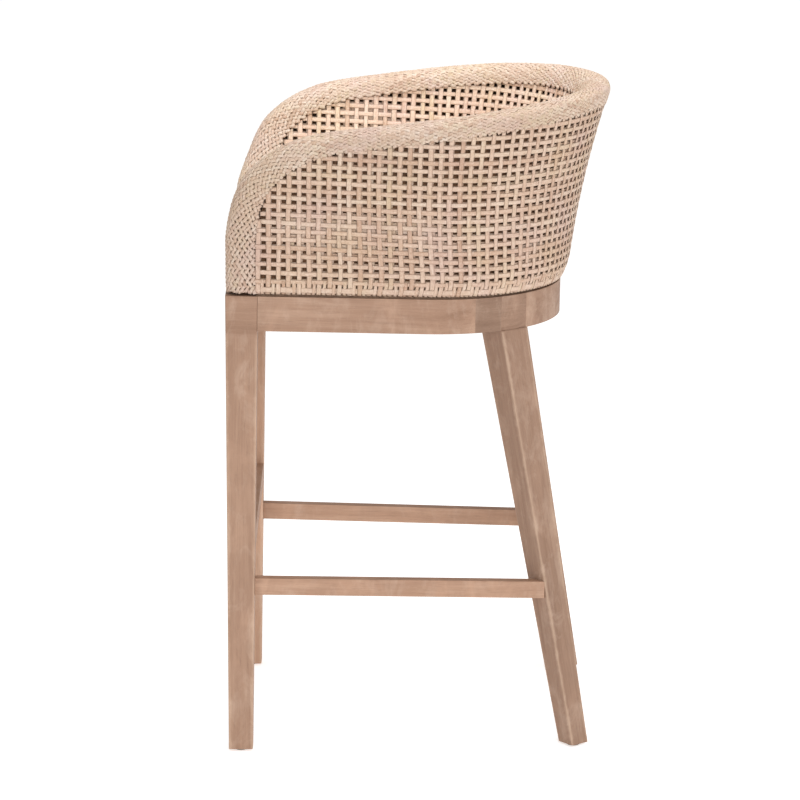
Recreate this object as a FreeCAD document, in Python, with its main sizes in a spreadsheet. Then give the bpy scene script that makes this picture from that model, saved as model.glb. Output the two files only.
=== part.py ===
import FreeCAD, Part
import math
import os
from FreeCAD import Placement, Rotation, Vector

# Bar stool: a four-legged wooden base with stretchers and a front footrest
# carries a woven rattan tub (arms and back in one sweep) and a seat pad.
# Frame: +Z up, the floor at Z = 0, the front at -Y, the sitter's left at +X.
# The seat frame and the tub lean back by seat_tilt about the top front edge of
# the apron. Their "local" frame has its origin there: x across, y to the rear,
# z up from the apron's top.

doc = FreeCAD.newDocument("bar_stool")
sheet = doc.addObject("Spreadsheet::Sheet", "dims")

DIMS = [
    ("front_plane", 287.97, "distance from the origin to the front faces of the front legs"),
    ("seat_height", 700.0, "floor to the top of the apron, at the front"),
    ("seat_tilt", 1.1, "backward lean of the seat frame, degrees"),
    ("half_width", 250.0, "half the width over the apron"),
    ("base_depth", 500.6, "apron depth, front to rear"),
    ("corner_radius", 205.0, "outer radius of the rounded rear corners"),
    ("apron_height", 52.0, "height of the apron rails"),
    ("apron_thick", 26.0, "thickness of the apron rails"),
    ("side_seam", 369.6, "front of the curved corner pieces"),
    ("glide_height", 4.0, "height of the foot glides"),
    ("glide_radius", 9.0, "radius of the foot glides"),
    ("nail_radius", 1.6, "glide nail radius"),
    ("nail_length", 16.0, "glide nail length in the leg"),
    ("front_leg_top", 48.0, "front leg section at the apron"),
    ("front_leg_foot", 36.0, "front leg section at the foot"),
    ("rear_leg_top", 49.0, "rear leg section under the apron"),
    ("rear_leg_foot", 32.0, "rear leg section at the foot"),
    ("rear_leg_turn", 40.0, "rear leg rotation about Z, degrees"),
    ("rear_foot_x", 209.0, "rear foot centre, across"),
    ("rear_foot_back", 519.6, "rear foot centre, behind the front plane"),
    ("rear_top_x", 183.3, "rear leg centre under the apron, across"),
    ("rear_top_back", 411.6, "rear leg centre under the apron, behind the front plane"),
    ("rear_top_level", 641.0, "level at which the rear leg top centre is given"),
    ("edge_round", 2.0, "eased edge radius on the legs"),
    ("stretcher_tall", 25.5, "height of the stretchers"),
    ("stretcher_thick", 18.0, "thickness of the stretchers"),
    ("side_front_level", 267.0, "top of the side stretcher at the front leg"),
    ("side_rear_level", 258.0, "top of the side stretcher at the rear leg"),
    ("rear_stretcher_level", 262.0, "top of the rear stretcher"),
    ("footrest_level", 335.0, "top of the front footrest"),
    ("footrest_tall", 26.0, "height of the footrest"),
    ("footrest_deep", 36.0, "depth of the footrest"),
    ("tenon_long", 16.0, "length of the stretcher tenons"),
    ("tenon_thick", 9.0, "thickness of the stretcher tenons"),
    ("tenon_tall", 18.0, "height of the stretcher tenons"),
    ("dowel_radius", 4.0, "radius of the frame dowels"),
    ("board_inset", 8.0, "seat board set back from the apron's outer face"),
    ("board_thick", 12.0, "thickness of the seat board"),
    ("screw_radius", 2.0, "shank radius of the wood screws"),
    ("screw_head", 4.2, "head radius of the wood screws"),
    ("screw_long", 28.0, "shank length of the wood screws"),
    ("cushion_tall", 64.0, "thickness of the seat pad"),
    ("cushion_half", 205.5, "half width of the seat pad"),
    ("cushion_front", 3.0, "front of the pad behind the front plane"),
    ("cushion_rear", 462.0, "rear of the pad behind the front plane"),
    ("cushion_radius", 163.0, "rear corner radius of the pad"),
    ("cushion_round", 14.0, "edge rounding of the pad"),
    ("skin_thick", 3.0, "thickness of a woven skin"),
    ("skin_start", 3.5, "lower edge of the outer skin above the apron"),
    ("wall_thick", 40.0, "outer skin face to inner skin face"),
    ("roll_width", 44.0, "width of the braided rim roll"),
    ("roll_deep", 30.0, "depth of the rim roll along the arms and back"),
    ("roll_front", 44.0, "depth of the rim roll down the front edges"),
    ("pole_radius", 8.0, "radius of the bent poles inside the wall"),
    ("pole_inset", 23.0, "pole centre line behind the outer skin face"),
    ("panel_inset", 9.0, "lining panels behind the outer skin face"),
    ("panel_thick", 5.0, "thickness of the lining panels"),
]
for n, (alias, value, note) in enumerate(DIMS, 1):
    sheet.set("A%d" % n, note)
    sheet.set("B%d" % n, repr(float(value)))
    sheet.setAlias("B%d" % n, alias)
doc.recompute()


def val(alias):
    return float(sheet.get(alias))


front = val("front_plane")
seat = val("seat_height")
tilt = Placement(Vector(0, -front, seat), Rotation(Vector(1, 0, 0), -val("seat_tilt")))
half = val("half_width")
depth = val("base_depth")
corner = val("corner_radius")
aph = val("apron_height")
apt = val("apron_thick")
glide = val("glide_height")
subparts = []


def bind(obj, **exprs):
    for prop, expr in exprs.items():
        obj.setExpression(prop, expr)
    return obj


def at(x=0.0, y=0.0, z=0.0, rot=None):
    return Placement(Vector(x, y, z), rot or Rotation())


def box(name, length, width, height, place):
    o = bind(doc.addObject("Part::Box", name), Length=length, Width=width, Height=height)
    o.Placement = place
    return o


def cylinder(name, radius, height, place):
    o = bind(doc.addObject("Part::Cylinder", name), Radius=radius, Height=height)
    o.Placement = place
    return o


def cut(name, base, tool):
    o = doc.addObject("Part::Cut", name)
    o.Base, o.Tool = base, tool
    o.Refine = True
    return o


def common(name, base, tool):
    o = doc.addObject("Part::Common", name)
    o.Base, o.Tool = base, tool
    o.Refine = True
    return o


def fuse(name, *shapes):
    o = doc.addObject("Part::MultiFuse", name)
    o.Shapes = list(shapes)
    o.Refine = True
    return o


def group(name, *shapes):
    o = doc.addObject("Part::Compound", name)
    o.Links = list(shapes)
    return o


def mirrored(name, source):
    o = doc.addObject("Part::Mirroring", name)
    o.Source = source
    o.Normal = Vector(1, 0, 0)
    o.Base = Vector(0, 0, 0)
    return o


def node(obj, label):
    obj.Label = label
    subparts.append((label, obj))
    return obj


def long_edge_fillet(name, base, least):
    doc.recompute()
    picks = []
    for i, e in enumerate(base.Shape.Edges, 1):
        if e.BoundBox.ZLength > least:
            picks.append((i, val("edge_round"), val("edge_round")))
    o = doc.addObject("Part::Fillet", name)
    o.Base = base
    o.Edges = picks
    return o


def along(p, q):
    """Placement with its X axis from p to q and its Z axis as near up as possible."""
    x = (q - p).normalize()
    y = Vector(0, 0, 1).cross(x).normalize()
    z = x.cross(y)
    m = FreeCAD.Matrix(x.x, y.x, z.x, p.x, x.y, y.y, z.y, p.y, x.z, y.z, z.z, p.z, 0, 0, 0, 1)
    return Placement(m)


# ---------------------------------------------------------------- apron ring
def d_prism(name, inset, low, tall):
    """Plan of the seat frame as a prism: square front corners, rounded rear ones."""
    r = "dims.corner_radius - %s" % inset
    i = val(inset.replace("dims.", "")) if inset.startswith("dims.") else float(inset)
    a = box(name + "_a", "2 * (dims.half_width - %s)" % inset, "dims.base_depth - dims.corner_radius",
            tall, tilt * at(-(half - i), 0, low))
    b = box(name + "_b", "2 * (dims.half_width - dims.corner_radius)", "dims.base_depth - %s" % inset,
            tall, tilt * at(-(half - corner), 0, low))
    c = cylinder(name + "_c", r, tall, tilt * at(half - corner, depth - corner, low))
    d = cylinder(name + "_d", r, tall, tilt * at(-(half - corner), depth - corner, low))
    return fuse(name, a, b, c, d)


outer_prism = d_prism("apron_outline", "0", -aph, "dims.apron_height")
inner_prism = d_prism("apron_hollow", "dims.apron_thick", -aph, "dims.apron_height")
ring = cut("apron_ring", outer_prism, inner_prism)

above_seat = box("above_seat", "2 * dims.half_width + 100", "dims.base_depth + 100", "80",
                 tilt * at(-half - 50, -50, 0))
above_apron = box("above_apron_underside", "2 * dims.half_width + 100", "dims.base_depth + 100", "80",
                  tilt * at(-half - 50, -50, -aph))

# ---------------------------------------------------------------- front legs
# Square, outer faces upright, inner faces tapering to the foot.
fw = doc.addObject("Part::Wedge", "front_leg_blank")
bind(fw, Ymin="0", Ymax="dims.seat_height - dims.glide_height",
     Xmin="dims.half_width - dims.front_leg_foot", Xmax="dims.half_width",
     X2min="dims.half_width - dims.front_leg_top", X2max="dims.half_width",
     Zmin="dims.front_plane - dims.front_leg_foot", Zmax="dims.front_plane",
     Z2min="dims.front_plane - dims.front_leg_top", Z2max="dims.front_plane")
fw.Placement = at(0, 0, glide, Rotation(Vector(1, 0, 0), 90))
fw_round = long_edge_fillet("front_leg_rounded", fw, 500)
fw_top = cut("front_leg_topped", fw_round, above_seat)

# ----------------------------------------------------------------- rear legs
# Square, turned to face the rounded corner, raked back, tapering to the foot.
turn = math.radians(val("rear_leg_turn"))
n_ax = Vector(math.cos(turn), math.sin(turn), 0)
t_ax = Vector(-math.sin(turn), math.cos(turn), 0)
foot_c = Vector(val("rear_foot_x"), val("rear_foot_back") - front, glide)
top_c = Vector(val("rear_top_x"), val("rear_top_back") - front, val("rear_top_level"))
ext_level = val("rear_top_level") + 20.0
k = (ext_level - glide) / (top_c.z - glide)
ext_c = foot_c + (top_c - foot_c) * k
ext_s = val("rear_leg_foot") + (val("rear_leg_top") - val("rear_leg_foot")) * k
du = (ext_c - foot_c).dot(n_ax)
dv = (ext_c - foot_c).dot(t_ax)
rw = doc.addObject("Part::Wedge", "rear_leg_blank")
bind(rw, Ymin="0", Ymax="dims.rear_top_level + 20 - dims.glide_height",
     Xmin="-dims.rear_leg_foot / 2", Xmax="dims.rear_leg_foot / 2",
     Zmin="-dims.rear_leg_foot / 2", Zmax="dims.rear_leg_foot / 2")
rw.X2min, rw.X2max = du - ext_s / 2, du + ext_s / 2
rw.Z2min, rw.Z2max = -dv - ext_s / 2, -dv + ext_s / 2
rw.Placement = Placement(foot_c, Rotation(Vector(0, 0, 1), val("rear_leg_turn"))
                         .multiply(Rotation(Vector(1, 0, 0), 90)))
rw_round = long_edge_fillet("rear_leg_rounded", rw, 500)
rw_top = cut("rear_leg_topped", rw_round, above_apron)
rw_plain = cut("rear_leg_plain", rw, above_apron)
head_y = val("rear_top_back") + 1.0
head = box("rear_leg_head", "dims.rear_leg_top", "dims.rear_leg_top", "dims.apron_height",
           tilt * Placement(Vector(val("rear_top_x"), head_y, -aph), Rotation(Vector(0, 0, 1), val("rear_leg_turn")))
           * at(-val("rear_leg_top") / 2, -val("rear_leg_top") / 2, 0))
head_trim = common("rear_leg_head_trimmed", head, outer_prism)
rear_blank = fuse("rear_leg_whole", rw_top, head_trim)


# ---------------------------------------------------------------- stretchers
def level(frac):
    return foot_c + (top_c - foot_c) * frac


def rear_at(z):
    return level((z - glide) / (top_c.z - glide))


s_th, s_ta = val("stretcher_thick"), val("stretcher_tall")
t_l, t_th, t_ta = val("tenon_long"), val("tenon_thick"), val("tenon_tall")


def leg_size(z):
    return val("front_leg_foot") + (val("front_leg_top") - val("front_leg_foot")) * (z - glide) / (seat - glide)


zf = val("side_front_level") - s_ta / 2
zr = val("side_rear_level") - s_ta / 2
p_front = Vector(half - 20.0, -front + leg_size(zf), zf)
r_c = rear_at(zr)
p_rear = Vector(r_c.x + 17.3, r_c.y - 5.0, zr)
run = p_rear - p_front
side_place = along(p_front, p_rear)
side_long = run.Length
side_bar = box("side_stretcher_bar", "1", "dims.stretcher_thick", "dims.stretcher_tall",
               side_place * at(-8, -s_th / 2, -s_ta / 2))
side_bar.setExpression("Length", None)
side_bar.Length = side_long + 8
side_bar_cut = cut("side_stretcher_shoulders", side_bar, group("side_leg_blanks", fw, rw_plain))
side_tenon_f = box("side_tenon_front", "dims.tenon_long + 4", "dims.tenon_thick", "dims.tenon_tall",
                   side_place * at(-t_l, -t_th / 2, -t_ta / 2))
side_tenon_r = box("side_tenon_rear", "dims.tenon_long + 20", "dims.tenon_thick", "dims.tenon_tall",
                   side_place * at(side_long - 34, -t_th / 2, -t_ta / 2))
side_stretcher = fuse("side_stretcher_whole", side_bar_cut, side_tenon_f, side_tenon_r)

# Front footrest: a deep rail between the front legs, flush with their rear faces.
zb = val("footrest_level") - val("footrest_tall") / 2
ls = leg_size(zb)
fr_y1 = -front + ls
fr_x = half - ls
fr_bar = box("footrest_bar", "2 * dims.half_width - 60", "dims.footrest_deep", "dims.footrest_tall",
             at(-(half - 30), fr_y1 - val("footrest_deep"), zb - val("footrest_tall") / 2))
fw_right = mirrored("front_leg_blank_right", fw)
rw_right = mirrored("rear_leg_blank_right", rw_plain)
fr_cut = cut("footrest_shoulders", fr_bar, group("front_blanks", fw, fw_right))
fr_tenon = box("footrest_tenon", "2 * dims.half_width - 2 * %.4f" % (ls - t_l), "18", "dims.tenon_tall - 2",
               at(-(fr_x + t_l), fr_y1 - val("footrest_deep") / 2 - 9, zb - (t_ta - 2) / 2))
footrest = fuse("footrest_whole", fr_cut, fr_tenon)

# Rear stretcher between the raked legs.
zq = val("rear_stretcher_level") - s_ta / 2
q_c = rear_at(zq)
rs_bar = box("rear_stretcher_bar", "1", "dims.stretcher_thick", "dims.stretcher_tall",
             at(-q_c.x, q_c.y - s_th / 2, zq - s_ta / 2))
rs_bar.setExpression("Length", None)
rs_bar.Length = 2 * q_c.x
rs_cut = cut("rear_stretcher_shoulders", rs_bar, group("rear_blanks", rw_plain, rw_right))
rs_tenon = box("rear_stretcher_tenon", "1", "dims.tenon_thick", "dims.tenon_tall",
               at(-(q_c.x - 4), q_c.y - t_th / 2, zq - t_ta / 2))
rs_tenon.setExpression("Length", None)
rs_tenon.Length = 2 * (q_c.x - 4)
rear_stretcher = fuse("rear_stretcher_whole", rs_cut, rs_tenon)

# ------------------------------------------------------------ dowels, glides
ang = math.radians(val("rear_leg_turn"))
cx0, cy0 = half - corner, depth - corner
mid_r = corner - apt / 2
head_c = Vector(val("rear_top_x"), head_y, 0)
joint_a = head_c + n_ax * (val("rear_leg_top") / 2 - apt / 2) - t_ax * (val("rear_leg_top") / 2)
joint_b = head_c + n_ax * (val("rear_leg_top") / 2 - apt / 2) + t_ax * (val("rear_leg_top") / 2)
seam_y = val("side_seam")
seam_p = Vector(cx0 + math.sqrt(mid_r ** 2 - (seam_y - cy0) ** 2), seam_y, 0)
seam_dir = Vector(-(seam_y - cy0), seam_p.x - cx0, 0).normalize()
leg_t = val("front_leg_top")
dowels = []
spots = [
    (Vector(half - leg_t - 22, apt / 2, 0), Vector(1, 0, 0), 40.0),
    (Vector(half - apt / 2, leg_t - 16, 0), Vector(0, 1, 0), 40.0),
    (seam_p - seam_dir * 15, seam_dir, 30.0),
    (joint_a - t_ax * 15, t_ax, 28.0),
    (joint_b - t_ax * 13, t_ax, 28.0),
]
for i, (p, d, length) in enumerate(spots):
    for j, z in enumerate((-15.0, -38.0)):
        c = cylinder("dowel_%d_%d" % (i, j), "dims.dowel_radius", "%.1f" % length,
                     tilt * Placement(Vector(p.x, p.y, z), Rotation(Vector(0, 0, 1), d)))
        dowels.append(c)
left_dowels = group("left_dowels", *dowels)
right_dowels = mirrored("right_dowels", left_dowels)
all_dowels = group("frame_dowel_group", left_dowels, right_dowels)


def glide_at(name, x, y):
    disc = cylinder(name + "_disc", "dims.glide_radius", "dims.glide_height", at(x, y, 0))
    nail = cylinder(name + "_nail", "dims.nail_radius", "dims.nail_length + 1", at(x, y, glide - 1))
    return fuse(name, disc, nail)


ff = val("front_leg_foot") / 2
g_front = glide_at("glide_front", half - ff, -front + ff)
g_rear = glide_at("glide_rear", foot_c.x, foot_c.y)
left_glides = group("left_glides", g_front, g_rear)
right_glides = mirrored("right_glides", left_glides)

left_stretchers = group("left_leg_tools", side_stretcher, footrest, left_dowels, left_glides)
front_left = cut("front_leg_cut", fw_top, left_stretchers)
rear_left = cut("rear_leg_cut", rear_blank, group("rear_leg_tools", side_stretcher, rear_stretcher,
                                                  left_dowels, left_glides))
node(front_left, "front_left_leg")
node(mirrored("front_right_leg_m", front_left), "front_right_leg")
node(rear_left, "rear_left_leg")
node(mirrored("rear_right_leg_m", rear_left), "rear_right_leg")

# --------------------------------------------------------------- apron rails
zone_side = box("zone_side", "100", "dims.side_seam - 20", "dims.apron_height", tilt * at(half - 90, 20, -aph))
side_cut = cut("side_rail_cut", common("side_rail_blank", ring, zone_side), group("side_rail_tools", fw, left_dowels))
node(side_cut, "left_apron_rail")
node(mirrored("right_apron_rail_m", side_cut), "right_apron_rail")

zone_corner = box("zone_corner", "130", "45.4", "dims.apron_height", tilt * at(half - 125, seam_y, -aph))
corner_cut = cut("corner_cut", common("corner_blank", ring, zone_corner), group("corner_tools", head, left_dowels))
node(corner_cut, "rear_left_apron_corner")
node(mirrored("rear_right_apron_corner_m", corner_cut), "rear_right_apron_corner")

zone_rear = box("zone_rear", "2 * dims.half_width", "150", "dims.apron_height",
                tilt * at(-half, seam_y + 45.4, -aph))
head_right = mirrored("rear_head_right", head)
rear_cut = cut("rear_rail_cut", common("rear_rail_blank", ring, zone_rear),
               group("rear_rail_tools", head, head_right, all_dowels))
node(rear_cut, "rear_apron_rail")

fr_rail = box("front_rail_blank", "2 * dims.half_width - 60", "dims.apron_thick", "dims.apron_height",
              tilt * at(-(half - 30), 1.0, -aph))
node(cut("front_rail_cut", fr_rail, group("front_rail_tools", fw, fw_right, all_dowels)), "front_apron_rail")
node(all_dowels, "frame_dowels")

node(footrest, "front_footrest")
node(side_stretcher, "left_stretcher")
node(mirrored("right_stretcher_m", side_stretcher), "right_stretcher")
node(rear_stretcher, "rear_stretcher")

glides = node(group("foot_glide_group", left_glides, right_glides), "foot_glides")


# -------------------------------------------------- braces, batten, seat board
def padded_body(name, points, low, tall_alias, inset_fillet=None):
    """A PartDesign body padded up from a closed polyline or arc outline in the local frame."""
    body = doc.addObject("PartDesign::Body", name)
    body.Placement = tilt * at(0, 0, low)
    sk = body.newObject("Sketcher::SketchObject", name + "_sketch")
    plane = [f for f in body.Origin.OriginFeatures if f.Role == "XY_Plane"][0]
    sk.AttachmentSupport = [(plane, "")]
    sk.MapMode = "FlatFace"
    for g in points:
        sk.addGeometry(g, False)
    doc.recompute()
    pad = body.newObject("PartDesign::Pad", name + "_pad")
    pad.Profile = sk
    pad.setExpression("Length", tall_alias)
    doc.recompute()
    return body


def d_outline(hw, y0, y1, r):
    pts = []
    cx, cy = hw - r, y1 - r
    a = Vector(-hw, y0, 0)
    b = Vector(hw, y0, 0)
    c = Vector(hw, cy, 0)
    d = Vector(cx, y1, 0)
    e = Vector(-cx, y1, 0)
    f = Vector(-hw, cy, 0)
    s = r * math.sqrt(0.5)
    pts.append(Part.LineSegment(a, b))
    pts.append(Part.LineSegment(b, c))
    pts.append(Part.Arc(c, Vector(cx + s, cy + s, 0), d))
    pts.append(Part.LineSegment(d, e))
    pts.append(Part.Arc(e, Vector(-cx - s, cy + s, 0), f))
    pts.append(Part.LineSegment(f, a))
    return pts


def poly(pts):
    v = [Vector(x, y, 0) for x, y in pts]
    return [Part.LineSegment(v[i], v[(i + 1) % len(v)]) for i in range(len(v))]


inn = half - apt
brace_body = padded_body("front_brace_blank", poly([(inn - 0.1, 70.2), (inn - 0.1, 115.0), (136.1, apt + 1.2), (180.9, apt + 1.2)]),
                         -27.0, "25")
batten_body = padded_body("seat_batten_blank", poly([(-inn, 250.0), (inn, 250.0), (inn, 290.0), (-inn, 290.0)]),
                          -22.0, "22")
bi = val("board_inset")
board_body = padded_body("seat_board_blank", d_outline(half - bi, bi, depth - bi, corner - bi), 0.0, "dims.board_thick")
cush_body = padded_body("seat_cushion_body",
                        d_outline(val("cushion_half"), val("cushion_front"), val("cushion_rear"), val("cushion_radius")),
                        val("board_thick") + 0.4, "dims.cushion_tall")


def screw(name, x, y, head_z):
    shank = cylinder(name + "_shank", "dims.screw_radius", "dims.screw_long", tilt * at(x, y, head_z))
    top = cylinder(name + "_head", "dims.screw_head", "2.4", tilt * at(x, y, head_z - 2.4))
    return fuse(name, shank, top)


s1 = screw("screw_brace_a", 193.0, 64.0, -25.0)
s2 = screw("screw_brace_b", 172.0, 43.0, -25.0)
s3 = screw("screw_batten", 150.0, 270.0, -20.0)
left_screws = group("left_seat_screws", s1, s2, s3)
right_screws = mirrored("right_seat_screws", left_screws)
seat_screws = group("seat_screw_group", left_screws, right_screws)

brace = cut("front_brace_cut", brace_body, left_screws)
braces = group("front_braces", brace, mirrored("front_brace_right", brace))
node(braces, "corner_braces")
node(cut("batten_cut", batten_body, seat_screws), "seat_cross_batten")


# ---------------------------------------------------------------- tub shape
# The outer face of the wall at height h above the apron: straight sides, rounded
# rear corners. It flares outwards and backwards, and turns in at the bottom.
def plan(h):
    low = max(0.0, 1.0 - h / 40.0) ** 2
    a = half + 1.0 + 0.065 * h - 3.0 * low
    yr = depth + 10.5 + 0.10 * h + 0.00039 * h * h - 9.0 * low
    r = min(a - 0.2, corner + 0.238 * h)
    return a, yr, r


def wall(side, p, h, d):
    """p 0..1 runs along the side by its y value, 1..2 round the corner, 2..3 across the back."""
    a, yr, r = plan(h)
    cx, cy = a - r, yr - r
    if p <= 1.0:
        x, y = a - d, WY0 + p * (cy - WY0)
    elif p <= 2.0:
        f = (p - 1.0) * math.pi / 2
        x, y = cx + (r - d) * math.cos(f), cy + (r - d) * math.sin(f)
    else:
        x, y = cx * (3.0 - p), yr - d
    return Vector(side * x, y, h)


RIM = [(0.0, 0.0), (-0.6, 30.0), (-1.1, 60.0), (-1.3, 85.0), (1.8, 112.0), (8.0, 140.0), (17.0, 163.0),
       (29.5, 184.0), (49.0, 203.5), (68.0, 217.5), (84.0, 226.5), (103.0, 235.0), (124.0, 241.5),
       (165.0, 249.0), (226.0, 257.0), (282.0, 264.8), (342.5, 272.5), (402.4, 280.2), (452.3, 285.7),
       (492.2, 290.0), (542.0, 293.6), (580.0, 295.0)]


def rim_z(y):
    for (y0, z0), (y1, z1) in zip(RIM[3:], RIM[4:]):
        if y <= y1:
            return z0 + (z1 - z0) * (y - y0) / (y1 - y0)
    return RIM[-1][1]


r_top, r_front = val("roll_deep"), val("roll_front")
GAP = 1.4
WY0 = r_front + GAP

# Rim curve in the side view, with the direction into the wall, and the roll's depth.
pts = [(0.0, 3.5)] + RIM[1:16]
side_rim = []
for i, (y, z) in enumerate(pts):
    y0, z0 = pts[max(i - 1, 0)]
    y1, z1 = pts[min(i + 1, len(pts) - 1)]
    ty, tz = y1 - y0, z1 - z0
    ln = math.hypot(ty, tz)
    ty, tz = ty / ln, tz / ln
    ny, nz = tz, -ty
    if i == 0:
        ny, nz = 1.0, 0.0
    if y > 160:
        ny, nz = 0.0, -1.0
    side_rim.append((y, z, ny, nz, r_top + (r_front - r_top) * max(0.0, ny)))

inner_edge = [(y + ny * (dp + GAP), z + nz * (dp + GAP)) for y, z, ny, nz, dp in side_rim]
# Height of the underside of the roll, as a function of y behind the front plane.
under = [(y, z) for y, z in inner_edge if z > 78]
under.sort()


def under_z(y):
    if y >= under[-1][0]:
        return rim_z(y) - r_top - GAP
    for (y0, z0), (y1, z1) in zip(under, under[1:]):
        if y <= y1:
            return z0 + (z1 - z0) * max(0.0, (y - y0) / max(1e-6, y1 - y0))
    return under[-1][1]


def stations():
    ys = [WY0, WY0 + 1.5, 50, 57, 65, 75, 87, 102, 120, 145, 175, 210, 250]
    cy = 297.0
    out = [(y - WY0) / (cy - WY0) for y in ys] + [1.0]
    out += [1.0 + k / 14.0 for k in range(1, 15)]
    out += [2.5, 3.0]
    return out


def top_h(p):
    h = 240.0
    for _ in range(14):
        q = wall(1, p, h, val("wall_thick") / 2)
        h = under_z(q.y)
    return h


def band(name, d0, d1, low, top_gap, p_list, both=True, levels=(0.0, 0.07, 0.16, 0.4, 0.7, 1.0)):
    """A thin wall between two insets, lofted through upright sections along the U."""
    sections = []
    runs = [(1, p) for p in p_list]
    if both:
        runs += [(-1, p) for p in reversed(p_list) if p < 3.0 - 1e-9]
    for side, p in runs:
        top = top_h(p) - top_gap
        hs = [low + (top - low) * f for f in levels]
        ring_pts = [wall(side, p, h, d0) for h in hs] + [wall(side, p, h, d1) for h in reversed(hs)]
        if 1.0 < p < 2.0:
            f = (p - 1.0) * math.pi / 2
            n = Vector(-side * math.sin(f), math.cos(f), 0)
            c = sum(ring_pts, Vector()) * (1.0 / len(ring_pts))
            ring_pts = [q - n * (q - c).dot(n) for q in ring_pts]
        sections.append(Part.makePolygon(ring_pts + [ring_pts[0]]))
    solid = Part.makeLoft(sections, True, True)
    if solid.Volume < 0:
        solid.reverse()
    return solid


def feature(name, shape, label=None):
    o = doc.addObject("Part::Feature", name)
    o.Shape = shape
    o.Placement = tilt
    if label:
        node(o, label)
    return o


st = stations()
sk_t, w_t = val("skin_thick"), val("wall_thick")
b_t = val("board_thick")
feature("outer_skin", band("o", 0.0, sk_t, val("skin_start"), 0.0, st), "outer_woven_skin")
feature("inner_skin", band("i", w_t - sk_t, w_t, b_t + 0.4, 0.0, st), "inner_woven_skin")

# Dark lining panels behind the outer skin, in five pieces round the U.
pi0, pi1 = val("panel_inset"), val("panel_inset") + val("panel_thick")


def panel(name, p0, p1):
    inside = [p for p in st if p0 < p < p1]
    return band(name, pi0, pi1, b_t + 0.4, 1.0, [p0] + inside + [p1], both=False)


left_side_panel = panel("ls", 0.0, 1.18)
left_rear_panel = panel("lr", 1.183, 1.72)
feature("left_panel", left_side_panel, "left_lining_panel")
feature("left_rear_panel", left_rear_panel, "rear_left_lining_panel")
flip = FreeCAD.Matrix(-1, 0, 0, 0, 0, 1, 0, 0, 0, 0, 1, 0, 0, 0, 0, 1)
feature("right_panel", left_side_panel.transformGeometry(flip), "right_lining_panel")
feature("right_rear_panel", left_rear_panel.transformGeometry(flip), "rear_right_lining_panel")
feature("back_panel", band("bp", pi0, pi1, b_t + 0.4, 1.0, [1.723] + [p for p in st if p > 1.723]), "back_lining_panel")


# ------------------------------------------------------- poles inside the wall
pr, pin = val("pole_radius"), val("pole_inset")


def tube(path, radius, sides=12):
    """A bent pole: a many-sided rod through the points of an open path."""
    rings = []
    up = Vector(0, 0, 1)
    prev = None
    for i, q in enumerate(path):
        t = (path[min(i + 1, len(path) - 1)] - path[max(i - 1, 0)]).normalize()
        if prev is None:
            u = t.cross(Vector(1, 0, 0))
            if u.Length < 0.3:
                u = t.cross(up)
        else:
            u = prev - t * prev.dot(t)
        u.normalize()
        v = t.cross(u)
        prev = u
        loop = [q + (u * math.cos(2 * math.pi * j / sides) + v * math.sin(2 * math.pi * j / sides)) * radius
                for j in range(sides)]
        rings.append(Part.makePolygon(loop + [loop[0]]))
    s = Part.makeLoft(rings, True, True)
    if s.Volume < 0:
        s.reverse()
    return s


base_h = b_t + 0.4 + pr
base_ps = [0.02] + [p for p in st if p > 0.05]
base_path = [wall(1, p, base_h, pin) for p in base_ps]
base_path += [Vector(-q.x, q.y, q.z) for q in reversed(base_path) if q.x > 0.5]
base_hoop = tube(base_path, pr)

post_y = WY0 + pr + 0.6
rim_path = []
hoop_low = base_h + pr + 0.4
a_, yr_, r_ = plan(hoop_low)
rim_path.append(Vector(plan(hoop_low)[0] - pin, post_y, hoop_low))
rim_path.append(Vector(plan(60)[0] - pin, post_y, 60.0))
edge = []
for (y, z), (yy, zz, ny, nz, dp) in zip(inner_edge, side_rim):
    if z < 80:
        continue
    edge.append((y + ny * (pr + 0.8), z + nz * (pr + 0.8)))
for y, z in edge:
    if y < 292 and y > post_y + 1.0:
        rim_path.append(Vector(plan(z)[0] - pin, y, z))
for p in [p for p in st if p > 1.03]:
    h = top_h(p) - pr - 0.8
    rim_path.append(wall(1, p, h, pin))
rim_path += [Vector(-q.x, q.y, q.z) for q in reversed(rim_path) if q.x > 0.5]
rim_hoop = tube(rim_path, pr)

upright_shapes = []
for p in (0.42, 0.86, 1.3, 1.62, 2.0):
    for side in (1, -1):
        ins = pin + 4.0 * math.sin(max(0.0, p - 1.0) * math.pi / 2)
        lo = wall(side, p, base_h + pr + 1.6, ins)
        hi = wall(side, p, top_h(p) - 2 * pr - 4.6, ins)
        d = hi - lo
        upright_shapes.append(Part.makeCylinder(pr - 1.0, d.Length, lo, d))
uprights = Part.makeCompound(upright_shapes)

screw_shapes = []
for p in (0.25, 0.75, 1.2, 1.55, 1.9):
    for side in (1, -1):
        q = wall(side, p, 0, pin)
        c1 = Part.makeCylinder(val("screw_radius"), 20.0, Vector(q.x, q.y, 1.0))
        c2 = Part.makeCylinder(val("screw_head"), 2.2, Vector(q.x, q.y, 0.4))
        screw_shapes.append(c1.fuse(c2).removeSplitter())
shell_screws = Part.makeCompound(screw_shapes)
base_hoop = base_hoop.cut(shell_screws)
feature("base_hoop", base_hoop, "tub_base_hoop")
feature("rim_hoop", rim_hoop, "tub_rim_hoop")
feature("uprights", uprights, "tub_uprights")
tub_screws = feature("tub_screw_group", shell_screws, "tub_screws")

notch = box("board_notch", "60", "60", "30", tilt * at(val("cushion_half"), val("roll_front") + 2.0 - 60.0, -5))
notch_right = mirrored("board_notch_right", notch)
board_cut = cut("seat_board_drilled", board_body, group("board_tools", seat_screws, tub_screws, notch, notch_right))
node(board_cut, "seat_board")
node(seat_screws, "seat_screws")

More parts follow.
